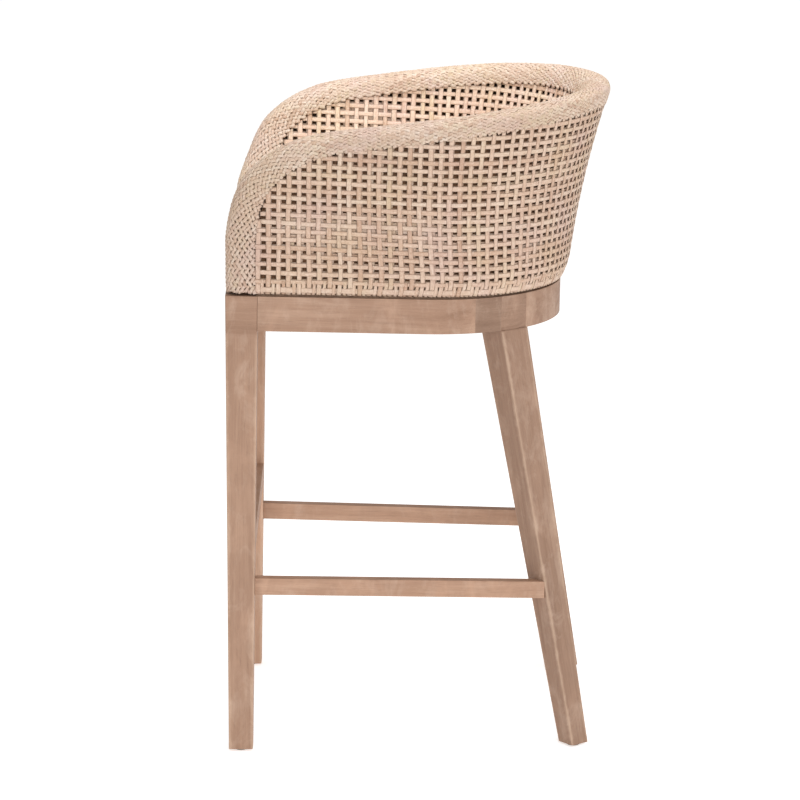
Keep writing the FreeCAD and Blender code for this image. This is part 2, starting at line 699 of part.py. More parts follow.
# ------------------------------------------------------------- rim and binding
rw_ = val("roll_width")
PROFILE = [(-1.0, 1.0), (-1.0, 0.5), (1.2, 0.25), (6.0, 0.09), (13.5, 0.015), (21.0, 0.0),
           (28.5, 0.015), (36.0, 0.09), (40.8, 0.25), (43.0, 0.5), (43.0, 1.0)]
roll_sections = []


def roll_ring(pts3):
    roll_sections.append(Part.makePolygon(pts3 + [pts3[0]]))


half_rings = []
for y, z, ny, nz, dp in side_rim:
    ringp = []
    for d, f in PROFILE:
        t = dp * f
        yy, zz = y + ny * t, z + nz * t
        a, _, _ = plan(zz)
        ringp.append(Vector(a - d, yy, zz))
    half_rings.append(ringp)
for p in [p for p in st if p > 1.0]:
    ringp = []
    h0 = 280.0
    for _ in range(12):
        q = wall(1, p, h0, rw_ / 2)
        h0 = rim_z(q.y)
    for d, f in PROFILE:
        ringp.append(wall(1, p, h0 - r_top * f, d))
    half_rings.append(ringp)
for ringp in half_rings:
    roll_ring(ringp)
for ringp in reversed(half_rings[:-1]):
    roll_ring([Vector(-q.x, q.y, q.z) for q in ringp])
roll = Part.makeLoft(roll_sections, True, True)
if roll.Volume < 0:
    roll.reverse()
feature("rim_roll", roll, "woven_rim_roll")

# ------------------------------------------------------------------ seat pad
doc.recompute()
cush_pad = cush_body.Tip
cfil = cush_body.newObject("PartDesign::Fillet", "seat_cushion_round")
keep = []
for i, e in enumerate(cush_pad.Shape.Edges, 1):
    bb = e.BoundBox
    if bb.ZLength > 5 and max(bb.XLength, bb.YLength) < 1:
        continue
    keep.append("Edge%d" % i)
cfil.Base = (cush_pad, keep)
cfil.setExpression("Radius", "dims.cushion_round")
doc.recompute()
node(cush_body, "seat_cushion")

# ------------------------------------------------------------- check and write
doc.recompute()
bad = [o.Name for o in doc.Objects if "Invalid" in o.State or "Error" in o.State]
if bad:
    raise RuntimeError("failed objects: " + ", ".join(bad))
names = set()
total = FreeCAD.BoundBox()
for label, obj in subparts:
    s = obj.Shape
    if s.isNull() or not s.isValid() or not s.Solids:
        raise RuntimeError("bad shape: " + label)
    if label in names:
        raise RuntimeError("name used twice: " + label)
    names.add(label)
    total.add(s.BoundBox)
os.makedirs("parts", exist_ok=True)
for label, obj in subparts:
    s = obj.Shape
    s.exportStep("parts/%s.step" % label)
    print("%-26s solids %2d  volume %10.1f mm3" % (label, len(s.Solids), sum(x.Volume for x in s.Solids)))
print("box X %.2f %.2f  Y %.2f %.2f  Z %.2f %.2f" % (total.XMin, total.XMax, total.YMin, total.YMax, total.ZMin, total.ZMax))
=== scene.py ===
import math

import bpy
import numpy as np
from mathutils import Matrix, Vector


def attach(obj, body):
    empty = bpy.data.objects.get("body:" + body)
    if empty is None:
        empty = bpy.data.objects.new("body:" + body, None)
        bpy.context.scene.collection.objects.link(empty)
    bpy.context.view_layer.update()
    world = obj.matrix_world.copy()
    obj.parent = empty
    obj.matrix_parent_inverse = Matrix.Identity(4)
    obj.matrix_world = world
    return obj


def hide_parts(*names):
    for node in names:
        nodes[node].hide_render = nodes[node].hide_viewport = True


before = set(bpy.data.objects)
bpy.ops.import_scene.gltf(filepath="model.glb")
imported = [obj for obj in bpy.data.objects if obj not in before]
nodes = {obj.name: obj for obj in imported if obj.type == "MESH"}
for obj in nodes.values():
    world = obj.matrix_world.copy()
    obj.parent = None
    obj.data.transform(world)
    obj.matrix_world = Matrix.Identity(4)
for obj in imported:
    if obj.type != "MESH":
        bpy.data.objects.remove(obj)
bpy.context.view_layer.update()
scene = bpy.context.scene

# ------------------------------------------------------------------ measures
# Lengths are in millimetres in the tub's own frame: x across, y to the rear from
# the front plane, z up from the apron's top. to_world() gives metres in the row frame.
FRONT, SEAT, TILT = 287.97, 700.0, math.radians(-1.1)
HALF, DEPTH, CORNER = 250.0, 500.6, 205.0
ROLL_TOP, ROLL_FRONT, GAP = 30.0, 44.0, 1.4
WY0 = ROLL_FRONT + GAP
RIM = np.array([(0.0, 0.0), (-0.6, 30.0), (-1.1, 60.0), (-1.3, 85.0), (1.8, 112.0), (8.0, 140.0),
                (17.0, 163.0), (29.5, 184.0), (49.0, 203.5), (68.0, 217.5), (84.0, 226.5),
                (103.0, 235.0), (124.0, 241.5), (165.0, 249.0), (226.0, 257.0), (282.0, 264.8),
                (342.5, 272.5), (402.4, 280.2), (452.3, 285.7), (492.2, 290.0), (542.0, 293.6),
                (580.0, 295.0)])
PROFILE = [(-1.0, 1.0), (-0.8, 0.60), (0.9, 0.36), (5.0, 0.155), (12.0, 0.035), (20.5, 0.0),
           (29.0, 0.02), (36.5, 0.12), (40.8, 0.30), (42.8, 0.55), (43.0, 1.0)]
LAG = 13.0  # the right arm's curve sits this much further back than the left one


def to_world(p):
    p = np.asarray(p, float)
    c, s = math.cos(TILT), math.sin(TILT)
    y = p[..., 1] * c - p[..., 2] * s
    z = p[..., 1] * s + p[..., 2] * c
    return np.stack([p[..., 0], y - FRONT, z + SEAT], -1) * 0.001


def turn_world(n):
    c, s = math.cos(TILT), math.sin(TILT)
    return np.stack([n[..., 0], n[..., 1] * c - n[..., 2] * s, n[..., 1] * s + n[..., 2] * c], -1)


def plan(h):
    low = np.maximum(0.0, 1.0 - h / 40.0) ** 2
    a = HALF + 1.0 + 0.065 * h - 3.0 * low
    yr = DEPTH + 10.5 + 0.10 * h + 0.00039 * h * h - 9.0 * low
    r = np.minimum(a - 0.2, CORNER + 0.238 * h)
    return a, yr, r


def wall(side, p, h, d):
    """A point of the wall and its outward normal; p 0..1 side, 1..3 corner and back by length."""
    side, p, h = np.broadcast_arrays(np.asarray(side, float), np.asarray(p, float), np.asarray(h, float))

    def at(hh):
        a, yr, r = plan(hh)
        cx, cy = a - r, yr - r
        arc, flat = r * math.pi / 2, np.maximum(cx, 1e-6)
        run = np.clip(p - 1.0, 0.0, 2.0) / 2.0 * (arc + flat)
        f = np.minimum(run / r, math.pi / 2)
        bend = run <= arc
        x = np.where(p <= 1, a - d, np.where(bend, cx + (r - d) * np.cos(f), cx - (run - arc)))
        y = np.where(p <= 1, WY0 + p * (cy - WY0), np.where(bend, cy + (r - d) * np.sin(f), yr - d))
        nx = np.where(p <= 1, 1.0, np.where(bend, np.cos(f), 0.0))
        ny = np.where(p <= 1, 0.0, np.where(bend, np.sin(f), 1.0))
        return np.stack([side * x, y, hh], -1), np.stack([side * nx, ny, 0 * x], -1)

    q, n = at(h)
    q2, _ = at(h + 2.0)
    g = ((q2 - q) * n).sum(-1) / 2.0
    n = n.copy()
    n[..., 2] = -g
    n /= np.linalg.norm(n, axis=-1, keepdims=True)
    return q, n


A_, YR_, R_ = (float(v) for v in plan(120.0))
L1, L2, L3 = YR_ - R_ - WY0, R_ * math.pi / 2, A_ - R_
HL = L1 + L2 + L3


def s_to_p(s):
    side = np.where(s <= HL, 1.0, -1.0)
    q = np.where(s <= HL, s, 2 * HL - s)
    p = np.where(q <= L1, q / L1, 1 + 2 * (q - L1) / (L2 + L3))
    return side, np.clip(p, -0.04, 3.0), q


def rim_z(y):
    return np.interp(y, RIM[3:, 0], RIM[3:, 1])


pts = [(0.0, 3.5)] + [tuple(v) for v in RIM[1:16]]
side_rim = []
for i, (y, z) in enumerate(pts):
    y0, z0 = pts[max(i - 1, 0)]
    y1, z1 = pts[min(i + 1, len(pts) - 1)]
    ln = math.hypot(y1 - y0, z1 - z0)
    ny, nz = (z1 - z0) / ln, -(y1 - y0) / ln
    if i == 0:
        ny, nz = 1.0, 0.0
    if y > 160:
        ny, nz = 0.0, -1.0
    side_rim.append((y, z, ny, nz, ROLL_TOP + (ROLL_FRONT - ROLL_TOP) * max(0.0, ny)))
under = sorted((y + ny * (dp + GAP), z + nz * (dp + GAP)) for y, z, ny, nz, dp in side_rim
               if z + nz * (dp + GAP) > 78)
UY, UZ = np.array([u[0] for u in under]), np.array([u[1] for u in under])


def under_z(y):
    return np.where(y >= UY[-1], rim_z(y) - ROLL_TOP - GAP, np.interp(y, UY, UZ))


def fade(x, a, b):
    t = np.clip((x - a) / (b - a), 0.0, 1.0)
    return t * t * (3 - 2 * t)


def top_h(p, side=1.0):
    h = np.full(np.shape(p), 240.0)
    lag = np.where(np.asarray(side) < 0, LAG, 0.0)
    for _ in range(14):
        q, _n = wall(1.0, p, h, 20.0)
        y = q[..., 1]
        h = under_z(y - lag * (1 - fade(y, 120.0, 250.0)))
    return h


# -------------------------------------------------------------- mesh helpers
def new_object(name, verts, faces, smooth=True):
    me = bpy.data.meshes.new(name)
    me.from_pydata(np.asarray(verts, float).tolist(), [], faces if isinstance(faces, list) else faces.tolist())
    me.update()
    o = bpy.data.objects.new(name, me)
    scene.collection.objects.link(o)
    if smooth:
        me.polygons.foreach_set("use_smooth", np.ones(len(me.polygons), bool))
    return o


SECTION = np.array([(-0.5, 0.0), (-0.31, 0.46), (0.31, 0.46), (0.5, 0.0), (0.31, -0.46), (-0.31, -0.46)])
REED = np.array([(-0.5, -0.15), (-0.24, 0.5), (0.24, 0.5), (0.5, -0.15)])


class Strips:
    """Flat cane strips collected into one mesh, each a closed band of a few sides."""

    def __init__(self, name, shelf=1.35, section=SECTION):
        self.name, self.shelf, self.sec, self.k = name, shelf, section, len(section)
        self.v, self.f, self.att, self.uv, self.count = [], [], [], [], 0
        self.row, self.fill = 0, 0.0

    def add(self, c, n, width, thick, tint):
        """c and n are the centre line and surface normals in world metres."""
        m, k = len(c), self.k
        if m < 3:
            return
        t = np.gradient(c, axis=0)
        t /= np.linalg.norm(t, axis=1, keepdims=True) + 1e-12
        s = np.cross(n, t)
        s /= np.linalg.norm(s, axis=1, keepdims=True) + 1e-12
        nn = np.cross(t, s)
        width = np.broadcast_to(np.asarray(width, float), (m,))
        thick = np.broadcast_to(np.asarray(thick, float), (m,))
        ring = (c[:, None, :] + s[:, None, :] * (self.sec[None, :, :1] * width[:, None, None])
                + nn[:, None, :] * (self.sec[None, :, 1:] * thick[:, None, None]))
        along = np.concatenate([[0.0], np.cumsum(np.linalg.norm(np.diff(c, axis=0), axis=1))])
        idx = self.count + np.arange(m * k).reshape(m, k)
        j2 = (np.arange(k) + 1) % k
        quads = np.stack([idx[:-1, :], idx[1:, :], idx[1:, j2], idx[:-1, j2]], -1).reshape(-1, 4)
        start = [[0, 1, 2, 3]] + ([[0, 3, 4, 5]] if k == 6 else [])
        stop = [list(reversed(q)) for q in start]
        caps = np.array([[idx[0, a] for a in q] for q in start] + [[idx[-1, a] for a in q] for q in stop])
        if self.fill + along[-1] > self.shelf and self.fill > 0:
            self.row, self.fill = self.row + 1, 0.0
        u = self.fill + along
        self.fill += along[-1] + 0.004
        jv = np.broadcast_to(np.arange(k), (m - 1, k))
        u0, u1 = np.broadcast_to(u[:-1, None], (m - 1, k)), np.broadcast_to(u[1:, None], (m - 1, k))
        uu, vv = np.stack([u0, u1, u1, u0], -1), np.stack([jv, jv, jv + 1, jv + 1], -1)
        uv = np.stack([uu, self.row + 0.03 + 0.94 * vv / k], -1).reshape(-1, 2)
        cap_uv = np.array([[u[0], self.row + 0.03 + 0.94 * a / k] for q in start for a in q]
                          + [[u[-1], self.row + 0.03 + 0.94 * a / k] for q in stop for a in q])
        self.v.append(ring.reshape(-1, 3))
        self.f += [quads, caps]
        self.uv += [uv, cap_uv]
        a = np.empty((m, k, 3))
        a[:, :, 0] = along[:, None]
        a[:, :, 1] = self.sec[None, :, 0] * 2
        a[:, :, 2] = tint
        self.att.append(a.reshape(-1, 3))
        self.count += m * k

    def build(self):
        v, f, att = np.concatenate(self.v), np.concatenate(self.f), np.concatenate(self.att)
        uv = np.concatenate(self.uv)
        o = new_object(self.name, v, f)
        me = o.data
        for k, nm in enumerate(("along", "across", "tint")):
            at = me.attributes.new(nm, "FLOAT", "POINT")
            at.data.foreach_set("value", att[:, k].astype(np.float32))
        layer = me.uv_layers.new(name="OFBake")
        uv = uv / np.array([self.shelf + 0.1, self.row + 1.0])
        layer.data.foreach_set("uv", uv.astype(np.float32).ravel())
        return o


def wobble(x, seed, scale):
    """Smooth noise of one variable, from -1 to 1."""
    r = np.random.default_rng(seed + 100000)
    ph, fr = r.uniform(0, 2 * math.pi, 4), r.uniform(0.5, 1.6, 4)
    return sum(np.sin(x / scale * fr[k] * 2 * math.pi + ph[k]) for k in range(4)) / 4.0


# ------------------------------------------------------------------- rattan
Z0, ZP = 22.6, 12.45


def slope(q, z):
    return 0.03 * (125.0 - np.minimum(q, L1 + 30.0)) * np.minimum(1.0, z / 80.0)


def weave(name, d, pitch, zp, z0, shift, seed, width_r, width_c, low, dense=False, amp=0.42, out=1.0, drift=None):
    """Open plain weave over the whole U. out is 1 where the face shows outwards, -1 inwards."""
    st = Strips(name)
    rg = np.random.default_rng(seed)
    n_col = int(2 * HL / pitch)
    pitch = 2 * HL / n_col
    ds = pitch / 4.0
    s_all = np.arange(-6.0, 2 * HL + 6.0 + ds, ds)
    side, p, q = s_to_p(s_all)
    th = top_h(np.clip(p, 0, 3), side)
    n_row = int((270.0 - z0) / zp) + 1
    rows = [(z0 + zp * j, width_r, j) for j in range(n_row)]
    if dense:
        rows.append((z0 - zp, 8.6, -1))
    for z, w, j in rows:
        h = z + slope(q, z) + 0.8 * wobble(s_all, seed * 31 + j, 240.0) * (j >= 0)
        ok = h < th + 4.0
        u = s_all / pitch - shift
        off = amp * np.cos(math.pi * (u + j))
        cut = np.flatnonzero(np.diff(np.concatenate([[0], ok.astype(int), [0]])))
        for a, b in zip(cut[::2], cut[1::2]):
            if b - a < 5:
                continue
            sl = slice(a, b)
            sx, hx = s_all[sl], h[sl]
            if drift is not None:
                ds_, dz_ = drift(sx, hx)
                sx, hx = sx + ds_, hx + dz_
            sd_, pp_, _q = s_to_p(sx)
            c, n = wall(sd_, pp_, hx, d)
            n = n * out
            c = c + n * off[sl, None]
            wd = w * (1.0 + 0.10 * wobble(s_all[sl], seed * 7 + j + 90, 60.0)) * rg.uniform(0.9, 1.08)
            st.add(to_world(c), turn_world(n), wd * 0.001, 0.0008, rg.uniform())
    cols = [(i + shift, width_c, i, None) for i in range(n_col + 1)]
    if dense:
        cols += [(i + 0.5 + shift, 5.7, i + 1, 25.0) for i in range(n_col)]
    for ci, w, i, cap in cols:
        s0 = ci * pitch
        if s0 < -4 or s0 > 2 * HL + 4:
            continue
        sd, pp, qq = s_to_p(np.array([s0]))
        t1 = float(top_h(np.clip(pp, 0, 3), sd)[0]) + 5.0
        if cap:
            t1 = min(t1, cap + rg.uniform(-1.0, 1.5))
        if t1 - low < 12:
            continue
        h = np.linspace(low, t1, max(4, int((t1 - low) / (zp / 4.0))))
        v = (h - slope(qq[0], h) - z0) / zp
        off = -amp * np.cos(math.pi * (v + i))
        sv = s0 + 0.9 * wobble(h, seed * 13 + i, 130.0) + rg.uniform(-0.5, 0.5)
        if cap:
            sv = sv + (h - low) * rg.uniform(-0.05, 0.05)
        hv = h
        if drift is not None:
            ds_, dz_ = drift(sv, h)
            sv, hv = sv + ds_, h + dz_ * np.clip((h - low) / 12.0, 0, 1)
        sides, ps, _q = s_to_p(sv)
        c, n = wall(sides, ps, hv, d)
        n = n * out
        c = c + n * off[:, None]
        wd = w * (1.0 + 0.10 * wobble(h, seed * 5 + i + 40, 50.0)) * rg.uniform(0.88, 1.08)
        st.add(to_world(c), turn_world(n), wd * 0.001, 0.0008, rg.uniform())
    return st.build()


def make_drift(spots, base_s, base_z, seed):
    """How far the second layer has slipped from the first: a little everywhere, half a mesh at the spots."""

    def drift(s, h):
        b = np.zeros(np.broadcast(s, h).shape)
        for s0, z0, rs, rz in spots:
            b = np.maximum(b, np.exp(-(np.abs((s - s0) / rs) ** 2.6 + np.abs((h - z0) / rz) ** 2.6)))
        ds = base_s * (0.9 + 0.9 * wobble(s + 0.7 * h, seed, 330.0)) * (1 - b) + 7.3 * b
        dz = base_z * (0.9 + 0.9 * wobble(s * 0.6 - h, seed + 1, 260.0)) * (1 - b) + 6.1 * b
        return ds, dz

    return drift


def smooth_rows(a, per):
    """Catmull-Rom through the rows of a[n, ...], with per samples a span."""
    n = len(a)
    out = []
    for i in range(n - 1):
        p0, p1, p2, p3 = a[max(i - 1, 0)], a[i], a[i + 1], a[min(i + 2, n - 1)]
        k = per[i] if hasattr(per, "__len__") else per
        for t in np.arange(k) / k:
            out.append(0.5 * ((2 * p1) + (p2 - p0) * t + (2 * p0 - 5 * p1 + 4 * p2 - p3) * t * t
                              + (3 * p1 - p0 - 3 * p2 + p3) * t ** 3))
    out.append(a[-1])
    return np.array(out)


def roll_grid():
    rings = []
    for y, z, ny, nz, dp in side_rim:
        row = []
        for d, f in PROFILE:
            yy, zz = y + ny * dp * f, z + nz * dp * f
            row.append((float(plan(np.float64(zz))[0]) - d, yy, zz))
        rings.append(row)
    for p in np.linspace(1.0, 3.0, 23)[1:]:
        h0 = np.float64(280.0)
        for _ in range(12):
            q, _n = wall(1.0, p, h0, 22.0)
            h0 = rim_z(q[1])
        rings.append([tuple(wall(1.0, p, h0 - ROLL_TOP * f, d)[0]) for d, f in PROFILE])
    half = np.array(rings)
    far = half * np.array([-1.0, 1.0, 1.0])
    far[..., 1] += LAG * fade(far[..., 2], 55.0, 150.0) * (1 - fade(far[..., 1], 120.0, 250.0))
    full = np.concatenate([half, far[::-1][1:]])
    mid = full[:, 5]
    per = np.maximum(1, np.round(np.linalg.norm(np.diff(mid, axis=0), axis=1) / 4.0)).astype(int)
    g = smooth_rows(full, per)
    g = np.swapaxes(smooth_rows(np.swapaxes(g, 0, 1), 5), 0, 1)
    arc = np.concatenate([[0.0], np.cumsum(np.linalg.norm(np.diff(g[:, g.shape[1] // 2], axis=0), axis=1))])
    wl = np.linalg.norm(np.diff(g, axis=1), axis=2).mean(0)
    w = np.concatenate([[0.0], np.cumsum(wl)])
    w /= w[-1]
    ts = np.gradient(g, axis=0)
    tw = np.gradient(g, axis=1)
    n = np.cross(ts, tw)
    n /= np.linalg.norm(n, axis=2, keepdims=True) + 1e-12
    if n[len(g) // 2, g.shape[1] // 2, 2] < 0:
        n = -n
    return g, n, arc, w


GRID, GN, ARC, GW = roll_grid()
S_ALL = float(ARC[-1])


def on_roll(s, w):
    i = np.clip(np.interp(s, ARC, np.arange(len(ARC))), 0, len(ARC) - 1.0001)
    j = np.clip(np.interp(w, GW, np.arange(len(GW))), 0, len(GW) - 1.0001)
    i0, j0 = i.astype(int), j.astype(int)
    fi, fj = (i - i0)[:, None], (j - j0)[:, None]

    def mixed(g):
        return ((g[i0, j0] * (1 - fj) + g[i0, j0 + 1] * fj) * (1 - fi)
                + (g[i0 + 1, j0] * (1 - fj) + g[i0 + 1, j0 + 1] * fj) * fi)

    n = mixed(GN)
    return mixed(GRID), n / np.linalg.norm(n, axis=1, keepdims=True)


def braid(name, s_lo, s_hi, seed):
    """Two families of fine strands across the roll at a low angle to the rim, plaited one over one."""
    st = Strips(name, shelf=1.0, section=REED)
    run, step, ds = 236.0, 14.0, 3.0
    n0, n1 = int(-run / step) - 1, int((S_ALL + run) / step) + 2
    for fam in (0, 1):
        for i in range(n0, n1):
            s0 = i * step
            if fam == 0:
                s = np.arange(s0, s0 + run + 0.1, ds)
                w = (s - s0) / run
            else:
                s = np.arange(s0 - run, s0 + 0.1, ds)
                w = (s0 - s) / run
            ok = (s >= s_lo) & (s < s_hi) & (s >= 0) & (s <= S_ALL)
            if ok.sum() < 4:
                continue
            rg = np.random.default_rng((seed, fam, i + 500))
            # the waves of each strand lie on its crossings with the other family
            uu = (s - w * run) / step
            vv = (s + w * run) / step
            ph = math.pi * (uu + vv)
            off = (0.85 if fam == 0 else -0.85) * (np.cos(ph) + (0.12 if fam == 0 else -0.12))
            off = off + 0.35 * wobble(s + 31.0 * w, seed + i * 5 + fam, 70.0)
            w = np.clip(w + 0.010 * wobble(s, seed + i * 3 + fam, 60.0), 0.0, 1.0)
            c, n = on_roll(s[ok], w[ok])
            c = c + n * (off[ok] - 1.75)[:, None]
            wd = 5.5 * (1.0 + 0.14 * wobble(s[ok], seed * 3 + i + 50 * fam, 30.0)) * rg.uniform(0.84, 1.12)
            st.add(to_world(c), turn_world(n), wd * 0.001, 0.0014, rg.uniform())
    return st.build()


def roll_core():
    g = GRID - GN * 3.2
    ns, nw = g.shape[:2]
    idx = np.arange(ns * nw).reshape(ns, nw)
    faces = []
    for i in range(ns - 1):
        for j in range(nw):
            k = (j + 1) % nw
            faces.append([int(idx[i, j]), int(idx[i, k]), int(idx[i + 1, k]), int(idx[i + 1, j])])
    faces.append([int(v) for v in idx[0, ::-1]])
    faces.append([int(v) for v in idx[-1]])
    return new_object("rim_roll_core", to_world(g.reshape(-1, 3)), faces)


OUT_SPOTS = [(135, 88, 62, 34), (215, 92, 40, 26), (60, 96, 34, 22), (500, 175, 60, 40), (420, 60, 30, 20),
             (720, 120, 60, 40), (900, 70, 50, 30), (1060, 150, 60, 34), (1180, 60, 40, 24)]
IN_SPOTS = [(160, 60, 50, 30), (1120, 190, 40, 18), (560, 120, 60, 40), (800, 90, 60, 30)]
outer_a = weave("outer_weave_face", 1.4, 14.6, ZP, Z0, 0.15, 3, 6.9, 7.3, 3.7, dense=True)
outer_b = weave("outer_weave_back", 4.2, 14.6, ZP, Z0, 0.15, 5, 6.6, 7.0, 13.5, drift=make_drift(OUT_SPOTS, 1.9, 1.4, 50))
inner_a = weave("inner_weave_face", 38.4, 14.6, ZP, Z0, 0.4, 8, 6.9, 7.6, 13.5, out=-1.0)
inner_b = weave("inner_weave_back", 35.4, 14.6, ZP, Z0, 0.4, 9, 6.6, 7.0, 13.5, out=-1.0, drift=make_drift(IN_SPOTS, 1.6, 1.2, 60))
roll_l = braid("rim_braid_left", -1.0, S_ALL / 2 + 0.01, 21)
roll_r = braid("rim_braid_right", S_ALL / 2 + 0.01 - 3.0, S_ALL + 1.0, 21)
core = roll_core()


# ------------------------------------------------------------------ seat pad
def d_outline(hw, y0, y1, r, r0, step=6.0):
    """The pad's plan, with rounded rear corners of r and front corners of r0."""
    out = []
    arcs = [(hw - r, y1 - r, r, 0, 90), (-(hw - r), y1 - r, r, 90, 180),
            (-(hw - r0), y0 + r0, r0, 180, 270), (hw - r0, y0 + r0, r0, 270, 360)]
    for cx, cy, rr, a0, a1 in arcs:
        k = max(4, int(rr * math.pi / 2 / step))
        for t in np.linspace(math.radians(a0), math.radians(a1), k):
            out.append((cx + rr * math.cos(t), cy + rr * math.sin(t)))
    out = np.array(out)
    dense = []
    for i in range(len(out)):
        a, b = out[i], out[(i + 1) % len(out)]
        k = max(1, int(np.linalg.norm(b - a) / step))
        dense += [a + (b - a) * t / k for t in range(k)]
    return np.array(dense)


PAD = dict(hw=202.0, y0=7.0, y1=458.0, r=160.0, r0=16.0)
SEAM_LOW, SEAM_TOP = 20.0, 66.0


def pad_shape():
    base = d_outline(**PAD)
    cen = np.array([0.0, 235.0])
    levels = [(14.0, 9.0), (15.6, 3.5), (SEAM_LOW, 0.0), (34.0, 1.5), (52.0, 1.5), (SEAM_TOP, 0.0), (70.5, 3.5), (72.5, 10.0)]
    v, faces = [], []
    m = len(base)
    d = np.roll(base, -1, 0) - np.roll(base, 1, 0)
    nrm = np.stack([d[:, 1], -d[:, 0]], 1)
    nrm /= np.linalg.norm(nrm, axis=1, keepdims=True)
    for z, inset in levels:
        q = base - nrm * inset
        v += [(x, y, z) for x, y in q]
    for k in range(len(levels) - 1):
        for i in range(m):
            j = (i + 1) % m
            faces.append([k * m + i, k * m + j, (k + 1) * m + j, (k + 1) * m + i])
    top = (len(levels) - 1) * m
    v += [(cen[0], cen[1], 14.0), (cen[0], cen[1], 72.5)]
    for i in range(m):
        j = (i + 1) % m
        faces.append([j, i, len(v) - 2])
        faces.append([top + i, top + j, len(v) - 1])
    return np.array(v), faces, base, nrm


pad_v, pad_f, pad_base, pad_nrm = pad_shape()
pad = new_object("seat_pad", to_world(pad_v), pad_f)
view_layer = bpy.context.view_layer


def apply_all(o):
    dg = bpy.context.evaluated_depsgraph_get()
    me = bpy.data.meshes.new_from_object(o.evaluated_get(dg))
    old = o.data
    o.modifiers.clear()
    o.data = me
    bpy.data.meshes.remove(old)


re = pad.modifiers.new("remesh", "REMESH")
re.mode = "VOXEL"
re.voxel_size = 0.0062
apply_all(pad)
inv = np.array([[1, 0, 0], [0, math.cos(TILT), math.sin(TILT)], [0, -math.sin(TILT), math.cos(TILT)]])


def local_co(o):
    co = np.empty(len(o.data.vertices) * 3)
    o.data.vertices.foreach_get("co", co)
    co = co.reshape(-1, 3) * 1000.0 - np.array([0.0, -FRONT, SEAT])
    return co @ inv.T


def outline_distance(xy):
    d = np.full(len(xy), 1e9)
    for i in range(len(pad_base)):
        a, b = pad_base[i], pad_base[(i + 1) % len(pad_base)]
        ab = b - a
        t = np.clip(((xy - a) @ ab) / (ab @ ab), 0, 1)
        d = np.minimum(d, np.linalg.norm(xy - a - t[:, None] * ab, axis=1))
    return d


before = local_co(pad)
edge = outline_distance(before[:, :2])
held = pad.vertex_groups.new(name="held")
seam = (edge < 5.5) & ((np.abs(before[:, 2] - SEAM_TOP) < 3.6) | (np.abs(before[:, 2] - SEAM_LOW) < 3.6))
flat = before[:, 2] < 15.2
held.add([int(i) for i in np.flatnonzero(seam | flat)], 1.0, "REPLACE")
cl = pad.modifiers.new("cloth", "CLOTH")
cl.settings.quality = 5
cl.settings.mass = 0.25
cl.settings.tension_stiffness = 12
cl.settings.compression_stiffness = 12
cl.settings.shear_stiffness = 5
cl.settings.bending_stiffness = 0.6
cl.settings.use_pressure = True
cl.settings.uniform_pressure_force = 4.0
cl.settings.vertex_group_mass = "held"
cl.settings.effector_weights.gravity = 0.0
cl.collision_settings.use_collision = False
cl.collision_settings.use_self_collision = False
cl.point_cache.frame_start, cl.point_cache.frame_end = 1, 20
scene.frame_start, scene.frame_end = 1, 20
for f in range(1, 21):
    scene.frame_set(f)
apply_all(pad)
scene.frame_set(1)
after = local_co(pad)
move = after - before
ln = np.linalg.norm(move, axis=1)
cap = np.where(before[:, 2] > 68.0, 12.0, 6.0)
move *= np.minimum(1.0, cap / np.maximum(ln, 1e-9))[:, None]
co = before + move
# a shallow hollow where a sitter has been, and soft puckers beside the seams
top = np.clip((before[:, 2] - 66.0) / 6.0, 0, 1)
rr = np.hypot(before[:, 0] / 150.0, (before[:, 1] - 240.0) / 150.0)
co[:, 2] -= top * 2.6 * np.exp(-rr ** 2 * 1.3)
near = np.exp(-np.abs(edge - 14.0) / 16.0)
ang = np.arctan2(before[:, 1] - 235.0, before[:, 0])
co[:, 2] += top * near * 0.8 * wobble(ang * 300.0, 77, 46.0)
co[:, 2] += top * 0.9 * wobble(before[:, 0] + 40 * wobble(before[:, 1], 4, 200.0), 5, 190.0) * wobble(before[:, 1], 6, 230.0)
pad.data.vertices.foreach_set("co", to_world(co).ravel())
pad.data.update()
pad.data.polygons.foreach_set("use_smooth", np.ones(len(pad.data.polygons), bool))
sub = pad.modifiers.new("soft", "SUBSURF")
sub.levels = sub.render_levels = 1


def piping(name, z, radius, out):
    """A welt sewn round the pad, with the cord's slight twist in its section."""
    c = pad_base + pad_nrm * out
    c = np.column_stack([c, np.full(len(c), z) + 0.35 * wobble(np.arange(len(c)) * 6.0, 3, 130.0)])
    m, sides = len(c), 12
    t = np.roll(c, -1, 0) - np.roll(c, 1, 0)
    t /= np.linalg.norm(t, axis=1, keepdims=True)
    up = np.tile([0.0, 0.0, 1.0], (m, 1))
    s = np.cross(t, up)
    v, faces = [], []
    for i in range(m):
        for k in range(sides):
            a = 2 * math.pi * k / sides
            r = radius * (1.0 + 0.05 * math.sin(3 * a + i * 0.9))
            v.append(c[i] + s[i] * r * math.cos(a) + up[i] * r * math.sin(a))
    for i in range(m):
        j = (i + 1) % m
        for k in range(sides):
            l = (k + 1) % sides
            faces.append([i * sides + k, i * sides + l, j * sides + l, j * sides + k])
    return new_object(name, to_world(np.array(v)), faces)


welt_top = piping("pad_piping_top", SEAM_TOP, 3.0, 0.9)
welt_low = piping("pad_piping_low", SEAM_LOW, 3.0, 0.9)


# ----------------------------------------------------------------- materials
def lin(r, g, b):
    def f(c):
        c /= 255.0
        return c / 12.92 if c <= 0.04045 else ((c + 0.055) / 1.055) ** 2.4

    return (f(r), f(g), f(b), 1.0)


